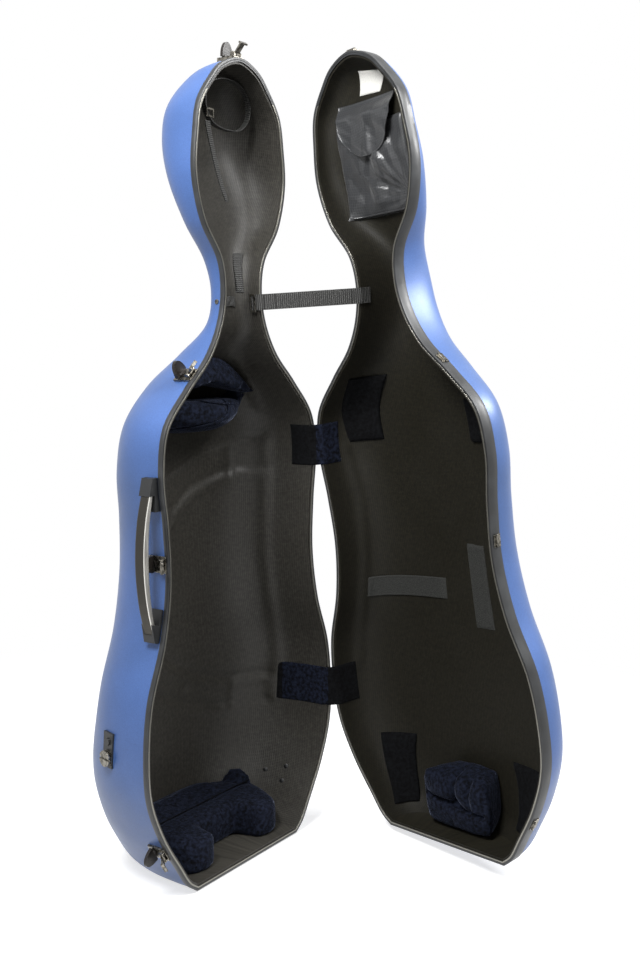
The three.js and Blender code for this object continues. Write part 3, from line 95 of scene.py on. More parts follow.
def add_node(tree: Tree, kind: str, settings: dict | None = None, links: dict | None = None) -> Node:
    """Adds a node with its settings and the links into it.

    Args:
        tree: The node tree.
        kind: The node's type, such as "ShaderNodeMath".
        settings: Attributes by name, and socket values by socket name or number.
        links: Output sockets, by the name or number of the input that each feeds.

    Returns:
        The new node.
    """
    node = tree.nodes.new(kind)
    for key, value in (settings or {}).items():
        if isinstance(key, str) and hasattr(node, key):
            setattr(node, key, value)
        else:
            node.inputs[key].default_value = value
    for key, socket in (links or {}).items():
        tree.links.new(socket, node.inputs[key])
    return node


class Half(Enum):
    """The halves of the case, by the side of the rim plane that they lie on."""

    BODY = 1
    LID = -1


class Placement(Enum):
    """Which coordinates a pattern follows."""

    SURFACE = "UV"
    SPACE = "Object"


@dataclass(frozen=True)
class Finish:
    """A finish of one material, with its typical optical values."""

    name: str
    colour: str
    roughness: float
    metallic: float = 0.0
    ior: float = 1.5
    coat: float = 0.0
    coat_roughness: float = 0.1
    sheen: float = 0.0
    sheen_roughness: float = 0.5
    sheen_tint: str = "#ffffff"
    specular: float = 0.5

    def start(self) -> tuple[Material, Tree, Node]:
        """Makes the material and its shader with the values that are the same all over.

        Returns:
            The material, its node tree and its shader node.
        """
        material = bpy.data.materials.new(self.name)
        material.use_nodes = True
        tree = material.node_tree
        shader = tree.nodes["Principled BSDF"]
        values = {
            "Base Color": linear(self.colour),
            "Roughness": self.roughness,
            "Metallic": self.metallic,
            "Specular IOR Level": self.specular,
            "Coat Weight": self.coat,
            "Coat Roughness": self.coat_roughness,
            "Sheen Weight": self.sheen,
            "Sheen Roughness": self.sheen_roughness,
            "Sheen Tint": linear(self.sheen_tint),
        }
        if self.metallic < 0.9:
            values["IOR"] = self.ior
        for socket, value in values.items():
            shader.inputs[socket].default_value = value
        return material, tree, shader

    def coordinates(self, tree: Tree, placement: Placement) -> Socket:
        """Gives pattern coordinates in millimetres.

        Args:
            tree: The node tree.
            placement: Along the surface, or through space.

        Returns:
            The socket with the coordinates.
        """
        source = add_node(tree, "ShaderNodeTexCoord")
        scaling = {"operation": "SCALE", "Scale": 1.0 if placement is Placement.SURFACE else 1 / MM}
        scaled = add_node(tree, "ShaderNodeVectorMath", scaling, {0: source.outputs[placement.value]})
        return scaled.outputs["Vector"]

    def noise(self, tree: Tree, where: Socket, size: float, detail: float = 3.0) -> Socket:
        """Gives soft noise whose blotches are a size in millimetres across.

        Args:
            tree: The node tree.
            where: Coordinates in millimetres.
            size: The blotches' size.
            detail: Octaves of finer noise.

        Returns:
            The noise value, about a half on average.
        """
        settings = {"Scale": 1 / size, "Detail": detail, "Roughness": 0.55}
        return add_node(tree, "ShaderNodeTexNoise", settings, {"Vector": where}).outputs["Fac"]

    def ramp(self, tree: Tree, value: Socket, stops: Sequence[tuple[float, str]]) -> Socket:
        """Gives colours along a value.

        Args:
            tree: The node tree.
            value: The value that picks the colour.
            stops: Places and their hex colours.

        Returns:
            The colour socket.
        """
        node = add_node(tree, "ShaderNodeValToRGB", {}, {"Fac": value})
        while len(node.color_ramp.elements) < len(stops):
            node.color_ramp.elements.new(0.5)
        for element, (place, code) in zip(node.color_ramp.elements, stops):
            element.position = place
            element.color = linear(code)
        return node.outputs["Color"]

    def paint(self, tree: Tree, value: Socket, stops: Sequence[tuple[float, str]]) -> None:
        """Lets a value pick the shader's colour."""
        tree.links.new(self.ramp(tree, value, stops), tree.nodes["Principled BSDF"].inputs["Base Color"])

    def spread(self, tree: Tree, value: Socket, low: float, high: float) -> Socket:
        """Maps noise, which keeps mostly between a quarter and three quarters, onto a range.

        Args:
            tree: The node tree.
            value: The noise.
            low: What a quarter becomes.
            high: What three quarters become.

        Returns:
            The mapped value.
        """
        spans = {"From Min": 0.25, "From Max": 0.75, "To Min": low, "To Max": high}
        return add_node(tree, "ShaderNodeMapRange", spans, {"Value": value}).outputs["Result"]

    def bump(self, tree: Tree, height: Socket, depth: float, below: Socket | None = None) -> Socket:
        """Adds relief to the shading.

        Args:
            tree: The node tree.
            height: The relief, from nought to one.
            depth: The relief's depth in millimetres.
            below: A coarser relief's normal that this one sits on.

        Returns:
            The normal socket.
        """
        links = {"Height": height} | ({"Normal": below} if below else {})
        relief = {"Distance": depth * MM, "Strength": 1.0}
        return add_node(tree, "ShaderNodeBump", relief, links).outputs["Normal"]

    def wave(
        self, tree: Tree, where: Socket, direction: str, spacing: float, distortion: float = 0.0
    ) -> Socket:
        """Gives parallel threads or ribs with a spacing in millimetres.

        Args:
            tree: The node tree.
            where: Coordinates in millimetres.
            direction: The axis across the ribs.
            spacing: From one rib to the next.
            distortion: How unevenly they run.

        Returns:
            The ribs' value.
        """
        # The texture repeats every pi / 10 of a unit at a scale of one.
        scale = math.pi / 10 / spacing
        settings = {"bands_direction": direction, "Scale": scale, "Distortion": distortion, "Detail": 1.0}
        return add_node(tree, "ShaderNodeTexWave", settings, {"Vector": where}).outputs["Fac"]

    def eased(self, tree: Tree, radius: float) -> Socket:
        """Rounds sharp edges in the shading by a radius in millimetres."""
        return add_node(tree, "ShaderNodeBevel", {"Radius": radius * MM}).outputs["Normal"]


@dataclass(frozen=True)
class MetallicLacquer(Finish):
    """Blue metallic lacquer, sprayed over a moulded shell and flatted."""

    # The eye sees a satin blue whose highlight goes pale and wide, with flake and slight orange peel.
    name: str = "satin_metallic_lacquer"
    colour: str = "#38568a"
    roughness: float = 0.42
    metallic: float = 0.15
    coat: float = 0.26
    coat_roughness: float = 0.36
    deep: str = "#324f80"
    pale: str = "#3e5c94"
    # The real flakes are under a tenth of a millimetre wide and are drawn coarser so that they glint.
    flake: float = 0.9
    glint: tuple[float, float] = (0.86, 1.14)
    peel: float = 3.5
    cloud: float = 240.0

    def material(self) -> Material:
        """Makes the lacquer, clouded a little in the spraying, with flake that glints grain by grain."""
        made, tree, shader = self.start()
        where = self.coordinates(tree, Placement.SPACE)
        clouds = self.noise(tree, where, self.cloud)
        flakes = add_node(tree, "ShaderNodeTexVoronoi", {"Scale": 1 / self.flake}, {"Vector": where})
        tone = self.ramp(tree, clouds, ((0.35, self.deep), (0.65, self.pale)))
        grains = add_node(tree, "ShaderNodeSeparateColor", {}, {"Color": flakes.outputs["Color"]})
        glint = dict(zip(("To Min", "To Max"), self.glint))
        level = add_node(tree, "ShaderNodeMapRange", glint, {"Value": grains.outputs["Red"]})
        scale = {0: tone, "Scale": level.outputs["Result"]}
        mixed = add_node(tree, "ShaderNodeVectorMath", {"operation": "SCALE"}, scale)
        tree.links.new(mixed.outputs["Vector"], shader.inputs["Base Color"])
        patches = self.noise(tree, where, self.cloud / 6)
        rough = self.spread(tree, patches, self.roughness - 0.03, self.roughness + 0.05)
        tree.links.new(rough, shader.inputs["Roughness"])
        peel = self.noise(tree, where, self.peel, 1.0)
        tree.links.new(self.bump(tree, peel, 0.02), shader.inputs["Normal"])
        return made


@dataclass(frozen=True)
class MouldedLining(Finish):
    """Foam pressed in a mould with a woven textile on its face."""

    # The eye sees a dark, dull cloth with a small raised weave and patches that are a little polished.
    name: str = "moulded_textile_foam"
    colour: str = "#3b3a36"
    roughness: float = 0.46
    specular: float = 0.3
    sheen: float = 0.04
    sheen_tint: str = "#8c867a"
    dark: str = "#1e1d1b"
    light: str = "#3d3b36"
    # The real threads are 1.2 mm apart, too fine to show, so they are drawn twice as coarse.
    thread: float = 2.4

    def material(self) -> Material:
        """Makes the lining: threads over and under, a little slubby, with a faint pressed sheen."""
        made, tree, shader = self.start()
        where = self.coordinates(tree, Placement.SURFACE)
        warp = self.wave(tree, where, "X", self.thread * 1.6, 1.4)
        weft = self.wave(tree, where, "Y", self.thread, 1.2)
        weave = add_node(tree, "ShaderNodeMath", {"operation": "MAXIMUM"}, {0: warp, 1: weft}).outputs[0]
        slub = self.noise(tree, where, self.thread * 3, 4.0)
        both = add_node(tree, "ShaderNodeMath", {"operation": "MULTIPLY"}, {0: weave, 1: slub}).outputs[0]
        self.paint(tree, both, ((0.1, self.dark), (0.65, self.light)))
        worn = self.spread(tree, self.noise(tree, where, 90.0), self.roughness - 0.08, self.roughness + 0.08)
        tree.links.new(worn, shader.inputs["Roughness"])
        pressed = self.bump(tree, self.noise(tree, where, 18.0), 0.35)
        tree.links.new(self.bump(tree, both, 0.3, pressed), shader.inputs["Normal"])
        return made


@dataclass(frozen=True)
class Velvet(Finish):
    """Knitted plush: a short navy pile on a backing."""

    # The eye sees a dark face that turns lighter where it is seen across the pile or where it is brushed; the
    # brushed patches are painted sheen, lighter in the colour.
    name: str = "navy_plush"
    colour: str = "#11131d"
    roughness: float = 0.95
    specular: float = 0.1
    sheen: float = 0.8
    sheen_roughness: float = 0.22
    sheen_tint: str = "#7d869f"
    dark: str = "#05060a"
    light: str = "#1c2130"
    brushed: float = 6.0
    # The pile's tufts are under a millimetre wide and are drawn a little coarser.
    pile: float = 1.3

    def material(self) -> Material:
        """Makes the plush with small brushed patches of painted sheen and a fine pile."""
        made, tree, shader = self.start()
        where = self.coordinates(tree, Placement.SPACE)
        # Painted sheen: small brushed patches of pile picked out lighter in the colour.
        patches = self.noise(tree, where, self.brushed, 6.0)
        self.paint(tree, patches, ((0.36, self.dark), (0.66, self.light)))
        soft = self.bump(tree, self.noise(tree, where, self.brushed), 0.9)
        pile = self.noise(tree, where, self.pile, 2.0)
        tree.links.new(self.bump(tree, pile, 0.6, soft), shader.inputs["Normal"])
        return made


@dataclass(frozen=True)
class BandRubber(Finish):
    """Extruded black edging of rubber-like PVC."""

    # The eye sees an even satin grey-black with a broad dim highlight, faint drag lines and dusty patches.
    name: str = "extruded_black_edging"
    colour: str = "#1c1d1e"
    roughness: float = 0.4
    dust: str = "#2c2e30"

    def material(self) -> Material:
        """Makes the edging."""
        made, tree, shader = self.start()
        where = self.coordinates(tree, Placement.SPACE)
        patches = self.noise(tree, where, 35.0, 4.0)
        self.paint(tree, patches, ((0.4, self.colour), (0.8, self.dust)))
        rough = self.spread(tree, patches, self.roughness - 0.07, self.roughness + 0.12)
        tree.links.new(rough, shader.inputs["Roughness"])
        tree.links.new(self.bump(tree, self.noise(tree, where, 1.2, 2.0), 0.06), shader.inputs["Normal"])
        return made


@dataclass(frozen=True)
class BrushedMetal(Finish):
    """Metal brushed one way with grit."""

    # The eye sees fine parallel scratches that draw each highlight out into a streak.
    name: str = "brushed_steel"
    colour: str = "#8f8d89"
    roughness: float = 0.34
    metallic: float = 1.0
    along: Place = (1.0, 1.0, 0.02)
    line: float = 0.8
    edge: float = 0.5

    def material(self) -> Material:
        """Makes the brushed metal, with the scratches drawn out along one axis."""
        made, tree, shader = self.start()
        where = self.coordinates(tree, Placement.SPACE)
        stretch = {"operation": "MULTIPLY", 1: self.along}
        drawn = add_node(tree, "ShaderNodeVectorMath", stretch, {0: where}).outputs["Vector"]
        lines = self.noise(tree, drawn, self.line, 4.0)
        rough = self.spread(tree, lines, self.roughness - 0.1, self.roughness + 0.14)
        tree.links.new(rough, shader.inputs["Roughness"])
        tree.links.new(self.bump(tree, lines, 0.05, self.eased(tree, self.edge)), shader.inputs["Normal"])
        return made


@dataclass(frozen=True)
class PaintedHighlightFlank(BrushedMetal):
    """Brushed gunmetal whose front flank carries a painted highlight."""

    # The eye sees a dark brushed back and, beside it, one pale satin flank; here the pale flank is a painted
    # highlight on what faces the front.
    name: str = "gunmetal_painted_highlight_flank"
    colour: str = "#45433f"
    # Painted highlight: the pale colour given to what faces the front.
    bright: str = "#e6e4de"
    front: Place = (0.35, -0.94, 0.0)

    def material(self) -> Material:
        """Makes the brushed metal and paints a highlight on what faces the front of the case."""
        made = super().material()
        tree = made.node_tree
        # Painted highlight, lighter the more a face turns to the front of the case.
        normal = add_node(tree, "ShaderNodeNewGeometry").outputs["Normal"]
        compared = {"operation": "DOT_PRODUCT", 1: self.front}
        facing = add_node(tree, "ShaderNodeVectorMath", compared, {0: normal}).outputs["Value"]
        self.paint(tree, facing, ((0.35, self.colour), (0.75, self.bright)))
        return made


@dataclass(frozen=True)
class NickelPlate(Finish):
    """Pressed steel with bright nickel plate."""

    # The eye sees a warm grey metal with rounded pressed edges that glint, smudged by hands.
    name: str = "nickel_plated_steel"
    colour: str = "#8f8b82"
    roughness: float = 0.24
    metallic: float = 1.0
    smudged: str = "#4c4a45"
    edge: float = 0.6

    def material(self) -> Material:
        """Makes the plate with smudges and the slight waviness of pressed sheet."""
        made, tree, shader = self.start()
        where = self.coordinates(tree, Placement.SPACE)
        smudge = self.noise(tree, where, 6.0, 4.0)
        self.paint(tree, smudge, ((0.35, self.smudged), (0.62, self.colour)))
        rough = self.spread(tree, smudge, self.roughness - 0.08, self.roughness + 0.16)
        tree.links.new(rough, shader.inputs["Roughness"])
        wavy = self.bump(tree, self.noise(tree, where, 9.0, 1.0), 0.08, self.eased(tree, self.edge))
        tree.links.new(wavy, shader.inputs["Normal"])
        return made


@dataclass(frozen=True)
class MouldedPlastic(Finish):
    """Black nylon, injection-moulded in a finely eroded mould."""

    # The eye sees a satin black with softened edges and a very fine grain.
    name: str = "moulded_black_nylon"
    colour: str = "#18191a"
    roughness: float = 0.4
    grain: float = 0.8
    edge: float = 0.7

    def material(self) -> Material:
        """Makes the plastic with its mould grain and a little handling shine."""
        made, tree, shader = self.start()
        where = self.coordinates(tree, Placement.SPACE)
        grain = self.noise(tree, where, self.grain, 2.0)
        handled = self.noise(tree, where, 12.0, 3.0)
        rough = self.spread(tree, handled, self.roughness - 0.08, self.roughness + 0.12)
        tree.links.new(rough, shader.inputs["Roughness"])
        tree.links.new(self.bump(tree, grain, 0.05, self.eased(tree, self.edge)), shader.inputs["Normal"])
        return made


@dataclass(frozen=True)
class Webbing(Finish):
    """Woven polyester webbing."""

    # The eye sees plump ribs across the strap, each of twisted yarn and slightly shiny on top.
    name: str = "woven_webbing"
    colour: str = "#0d0d0d"
    roughness: float = 0.55
    sheen: float = 0.12
    sheen_tint: str = "#7a7a76"
    light: str = "#3b3b39"
    # The ribs are 1.3 mm apart and are drawn coarser so that they show.
    rib: float = 3.4
    yarn: float = 1.6

    def material(self) -> Material:
        """Makes the webbing from its ribs and yarns."""
        made, tree, shader = self.start()
        where = self.coordinates(tree, Placement.SURFACE)
        ribs = self.wave(tree, where, "X", self.rib)
        yarns = self.wave(tree, where, "Y", self.yarn, 0.6)
        softened = {"operation": "MULTIPLY_ADD", 1: 0.4, 2: 0.6}
        soft = add_node(tree, "ShaderNodeMath", softened, {0: yarns}).outputs[0]
        woven = add_node(tree, "ShaderNodeMath", {"operation": "MULTIPLY"}, {0: ribs, 1: soft}).outputs[0]
        self.paint(tree, woven, ((0.05, self.colour), (0.9, self.light)))
        tree.links.new(self.bump(tree, woven, 0.9), shader.inputs["Normal"])
        return made


@dataclass(frozen=True)
class RipstopNylon(Finish):
    """Coated nylon cloth with a small woven grid."""

    # The eye sees thin, slightly glossy cloth whose facets catch the light between sharp creases.
    name: str = "coated_nylon_cloth"
    colour: str = "#2a2b2d"
    roughness: float = 0.3
    sheen: float = 0.1
    light: str = "#3c3d3e"
    crease: float = 16.0
    grid: float = 4.5

    def material(self) -> Material:
        """Makes the cloth with its creases and grid."""
        made, tree, shader = self.start()
        where = self.coordinates(tree, Placement.SURFACE)
        across = self.wave(tree, where, "X", self.grid)
        down = self.wave(tree, where, "Y", self.grid)
        lines = add_node(tree, "ShaderNodeMath", {"operation": "MAXIMUM"}, {0: across, 1: down}).outputs[0]
        fine = add_node(tree, "ShaderNodeMath", {"operation": "POWER", 1: 12.0}, {0: lines}).outputs[0]
        self.paint(tree, fine, ((0.0, self.colour), (1.0, self.light)))
        creased = self.bump(tree, self.noise(tree, where, self.crease, 3.0), 0.7)
        tree.links.new(self.bump(tree, fine, 0.08, creased), shader.inputs["Normal"])
        return made


@dataclass(frozen=True)
class HookTape(Finish):
    """Hook-and-loop tape."""

    # The eye sees a dull field of tiny hooks, lighter at their tips.
    name: str = "hook_and_loop_tape"
    colour: str = "#161715"
    roughness: float = 0.8
    sheen: float = 0.1
    sheen_tint: str = "#6f6e6a"
    light: str = "#2c2d2a"
    # The hooks stand 1.3 mm apart and are drawn a little coarser.
    hook: float = 1.8

    def material(self) -> Material:
        """Makes the field of hooks."""
        made, tree, shader = self.start()
        where = self.coordinates(tree, Placement.SPACE)
        cells = add_node(tree, "ShaderNodeTexVoronoi", {"Scale": 1 / self.hook}, {"Vector": where})
        hooks = cells.outputs["Distance"]
        self.paint(tree, hooks, ((0.0, self.light), (0.7, self.colour)))
        tree.links.new(self.bump(tree, hooks, 0.6), shader.inputs["Normal"])
        return made


@dataclass(frozen=True)
class FeltPatch(Finish):
    """A blank patch of white felted cloth."""

    # The eye sees a matt off-white with short fibres and slightly greyed edges.
    name: str = "white_felt_patch"
    colour: str = "#d2d1cc"
    roughness: float = 0.9
    sheen: float = 0.3
    grey: str = "#bab9b4"

    def material(self) -> Material:
        """Makes the felt with its fibres."""
        made, tree, shader = self.start()
        where = self.coordinates(tree, Placement.SPACE)
        fibres = self.noise(tree, where, 1.4, 4.0)
        self.paint(tree, fibres, ((0.3, self.grey), (0.6, self.colour)))
        tree.links.new(self.bump(tree, fibres, 0.3), shader.inputs["Normal"])
        return made


def unit(vector: np.ndarray) -> np.ndarray:
    """Scales vectors to a length of one."""
    return vector / np.maximum(np.linalg.norm(vector, axis=-1, keepdims=True), 1e-9)


def smooth_step(value: np.ndarray | float, start: float, end: float) -> np.ndarray:
    """Rises smoothly from nought to one between two values."""
    t = np.clip((np.asarray(value, float) - start) / (end - start), 0, 1)
    return t * t * (3 - 2 * t)


@dataclass
class Contour:
    """A smooth half contour from the base to the crown, read at any height and inset, in millimetres."""

    shares: Sequence[tuple[float, float]]
    reach: float
    base: float
    top: float
    samples: int = 1600
    lines: dict = field(default_factory=dict)

    def points(self) -> Points:
        """Gives the contour's control points, mirrored to the other side."""
        tall = self.top - self.base
        side = np.array([(out * self.reach, self.base + up * tall) for up, out in self.shares])
        return np.vstack([side, side[-2::-1] * (-1, 1)])

    def curve(self, share: np.ndarray) -> Points:
        """Reads the centripetal spline through the control points.

        Args:
            share: Shares of the whole mirrored curve.

        Returns:
            Points as out and up.
        """
        knots = self.points()
        last = len(knots) - 1
        place = np.clip(share, 0, 1) * last
        index = np.minimum(place.astype(int), last - 1)
        weight = (place - index)[:, None]
        padded = np.vstack([2 * knots[0] - knots[1], knots, 2 * knots[-1] - knots[-2]])
        p0, p1, p2, p3 = (padded[index + i] for i in range(4))
        pairs = ((p0, p1), (p1, p2), (p2, p3))
        d0, d1, d2 = (np.sqrt(np.linalg.norm(b - a, axis=1, keepdims=True)) for a, b in pairs)
        t1 = ((p1 - p0) / d0 - (p2 - p0) / (d0 + d1) + (p2 - p1) / d1) * d1
        t2 = ((p2 - p1) / d1 - (p3 - p1) / (d1 + d2) + (p3 - p2) / d2) * d1
        c2 = -3 * p1 + 3 * p2 - 2 * t1 - t2
        c3 = 2 * p1 - 2 * p2 + t1 + t2
        return p1 + t1 * weight + c2 * weight**2 + c3 * weight**3

    def line(self, inset: float) -> Points:
        """Gives the contour moved inwards by an inset."""
        key = round(inset, 4)
        if key not in self.lines:
            share = np.linspace(0, 0.5, self.samples + 1)
            here = self.curve(share)
            along = unit(self.curve(share + 1e-4) - self.curve(share - 1e-4))
            moved = here + inset * np.stack([-along[:, 1], along[:, 0]], 1)
            moved[-1] = 0, self.top - inset
            moved[:, 1] = np.maximum.accumulate(moved[:, 1] + np.arange(len(moved)) * 1e-7)
            self.lines[key] = moved
        return self.lines[key]

    def at(self, height: np.ndarray, inset: float = 0.0) -> np.ndarray:
        """Reads how far out the contour stands at heights and an inset."""
        line = self.line(inset)
        return np.maximum(np.interp(height, line[:, 1], line[:, 0]), 0)


@dataclass
class CaseForm:
    """The case's sizes, the same as the solids', and points on its curved walls, in millimetres."""

    height: float = 1330
    base: float = 4.3
    half_width: float = 252
    edge_plane: float = 2.45
    fullness: float = 3
    base_centre: float = 80
    shell_wall: float = 2.4
    lining_outer: float = 2.7
    lining_inner: float = 8.7
    pad_inset: float = 9.0
    foot_share: float = 0.08
    head_share: float = 0.9
    depths: dict = field(default_factory=lambda: {Half.BODY: 210.0, Half.LID: 117.0})
    outline_shares: tuple = (
        (0, 0.548), (0.0113, 0.627), (0.0376, 0.723), (0.0827, 0.873), (0.1353, 0.983), (0.188, 1),
        (0.2481, 0.961), (0.3158, 0.831), (0.3835, 0.77), (0.4511, 0.785), (0.5113, 0.819), (0.5639, 0.771),
        (0.609, 0.56), (0.6466, 0.352), (0.6842, 0.237), (0.7218, 0.195), (0.7594, 0.225), (0.8045, 0.389),
        (0.8571, 0.467), (0.9023, 0.452), (0.9398, 0.411), (0.9699, 0.294), (0.9887, 0.187), (1, 0),
    )
    depth_shares: dict = field(default_factory=lambda: {
        Half.BODY: (
            (0, 0.74), (0.0226, 0.95), (0.06, 1), (0.1128, 1), (0.1654, 0.98), (0.2256, 0.92),
            (0.3008, 0.876), (0.3759, 0.848), (0.4511, 0.814), (0.5113, 0.79), (0.5639, 0.743), (0.609, 0.66),
            (0.6466, 0.46), (0.6842, 0.225), (0.7218, 0.205), (0.7594, 0.252), (0.8045, 0.33),
            (0.8571, 0.452), (0.9023, 0.529), (0.9398, 0.51), (0.9699, 0.42), (0.9887, 0.28), (1, 0),
        ),
        Half.LID: (
            (0, 0.62), (0.0226, 0.84), (0.06, 0.9), (0.1128, 0.94), (0.1654, 0.985), (0.2256, 1),
            (0.3008, 1), (0.3759, 0.99), (0.4511, 0.955), (0.5113, 0.935), (0.5639, 0.9), (0.609, 0.89),
            (0.6466, 0.895), (0.6842, 0.9), (0.7218, 0.885), (0.7594, 0.79), (0.8045, 0.615),
            (0.8571, 0.47), (0.9023, 0.41), (0.9398, 0.42), (0.9699, 0.4), (0.9887, 0.3), (1, 0),
        ),
    })

    def __post_init__(self) -> None:
        """Prepares the contours and the lid's turn."""
        self.outline = Contour(self.outline_shares, self.half_width, self.base, self.height)
        self.depth = {
            half: Contour(self.depth_shares[half], deepest - self.edge_plane, self.base, self.height)
            for half, deepest in self.depths.items()
        }
        joints = frame["record"]["behaviour"]["joints"]
        hinge = next(joint for joint in joints if joint["name"] == "lid_hinge")
        self.hinge_axis = np.array(hinge["axis"])
        foot = Vector(hinge["pos_m"]) / MM + Vector((0, self.base_centre, 0))
        opening = -math.radians(hinge["range_deg"][0])
        turn = Matrix.Rotation(opening, 4, Vector(hinge["axis"]))
        self.open_turn = np.array(Matrix.Translation(foot) @ turn @ Matrix.Translation(-foot))

    def up(self, share: float | np.ndarray) -> float | np.ndarray:
        """Gives the height at a share of the case's height."""
        return self.base + share * (self.height - self.base)

    def opened(self, points: Points) -> Points:
        """Moves closed-lid points to the lid's resting place."""
        return points @ self.open_turn[:3, :3].T + self.open_turn[:3, 3]

    def seated(self, points: Points) -> Points:
        """Turns points in millimetres into the shared frame's metres."""
        return (points - (0, self.base_centre, 0)) * MM

    def wall(self, half: Half, height: np.ndarray, angle: np.ndarray, inset: float | np.ndarray) -> Points:
        """Gives points of a half's wall.

        Args:
            half: The half.
            height: Heights.
            angle: Angles round the section, nought at the hinge side.
            inset: How far inside the outer face.

        Returns:
            The points, one row of three for each.
        """
        height, angle, inset = np.broadcast_arrays(np.asarray(height, float), angle, inset)
        power = 2 / self.fullness
        low, high = float(np.min(inset)), float(np.max(inset))
        if high - low < 1e-6:
            across = self.outline.at(height, low)
            deep = self.depth[half].at(height, low)
        else:
            share = (inset - low) / (high - low)
            outline, depth = self.outline, self.depth[half]
            across = outline.at(height, low) * (1 - share) + outline.at(height, high) * share
            deep = depth.at(height, low) * (1 - share) + depth.at(height, high) * share
        cosine, sine = np.cos(angle), np.maximum(np.sin(angle), 0)
        x = across * np.sign(cosine) * np.abs(cosine) ** power
        y = half.value * (self.edge_plane + deep * sine**power)
        return np.stack([x, y, height], -1)

    def wall_depth(self, half: Half, x: np.ndarray, height: np.ndarray, inset: float) -> np.ndarray:
        """Gives how deep the wall lies behind places given by x and height."""
        share = np.minimum(np.abs(x) / np.maximum(self.outline.at(height, inset), 0.3), 1)
        rounded = (1 - share**self.fullness) ** (1 / self.fullness)
        return self.edge_plane + self.depth[half].at(height, inset) * rounded

    def angle_at(self, half: Half, depth: float, height: float) -> float:
        """Gives the angle round the section at which the hinge-side wall has a depth."""
        share = (depth - self.edge_plane) / float(self.depth[half].at(height))
        return math.asin(min(max(share, 0), 1) ** (self.fullness / 2))

    def levels(self, floor: float, crown: float, count: int) -> np.ndarray:
        """Gives heights from a floor to a crown, closer together where the outline curves more."""
        heights = self.outline.curve(np.linspace(0, 0.5, count + 1))[:, 1]
        low, high = self.up(self.foot_share), self.up(self.head_share)
        bottom = floor + (heights - self.base) / (low - self.base) * (low - floor)
        top = high + (heights - high) / (self.height - high) * (crown - high)
        result = np.where(heights < low, bottom, np.where(heights > high, top, heights))
        result[-1] = crown
        return result

    def section_angles(self, count: int) -> np.ndarray:
        """Gives angles round a section that space its points evenly."""
        t = np.linspace(0, 1, count // 2 + 1)
        quarter = t**1.5 / (t**1.5 + (1 - t) ** 1.5) * math.pi / 2
        return np.concatenate([quarter, math.pi - quarter[-2::-1]])

    def ring(self, half: Half, depth: float, inset: float, count: int) -> Points:
        """Gives the closed ring where a half, shrunk by an inset, meets a plane at a depth.

        Args:
            half: The half.
            depth: The plane's distance behind the rim.
            inset: How far the outline is shrunk.
            count: Steps from the base to the crown.

        Returns:
            The ring's points, from the base up one side and down the other.
        """
        beyond = depth - self.edge_plane
        crown = self.height - inset
        if beyond > 0:
            line = self.depth[half].line(inset)
            deep_enough = line[line[:, 0] > beyond]
            crown = float(deep_enough[-1, 1])
        heights = self.levels(self.base + inset, crown, count)
        share = np.clip(beyond / np.maximum(self.depth[half].at(heights, inset), 1e-6), 0, 1)
        width = self.outline.at(heights, inset) * (1 - share**self.fullness) ** (1 / self.fullness)
        width[-1] = 0
        right = np.stack([width, np.full_like(width, half.value * depth), heights], 1)
        return np.vstack([right, right[-2::-1] * (-1, 1, 1)])


CASE = CaseForm()


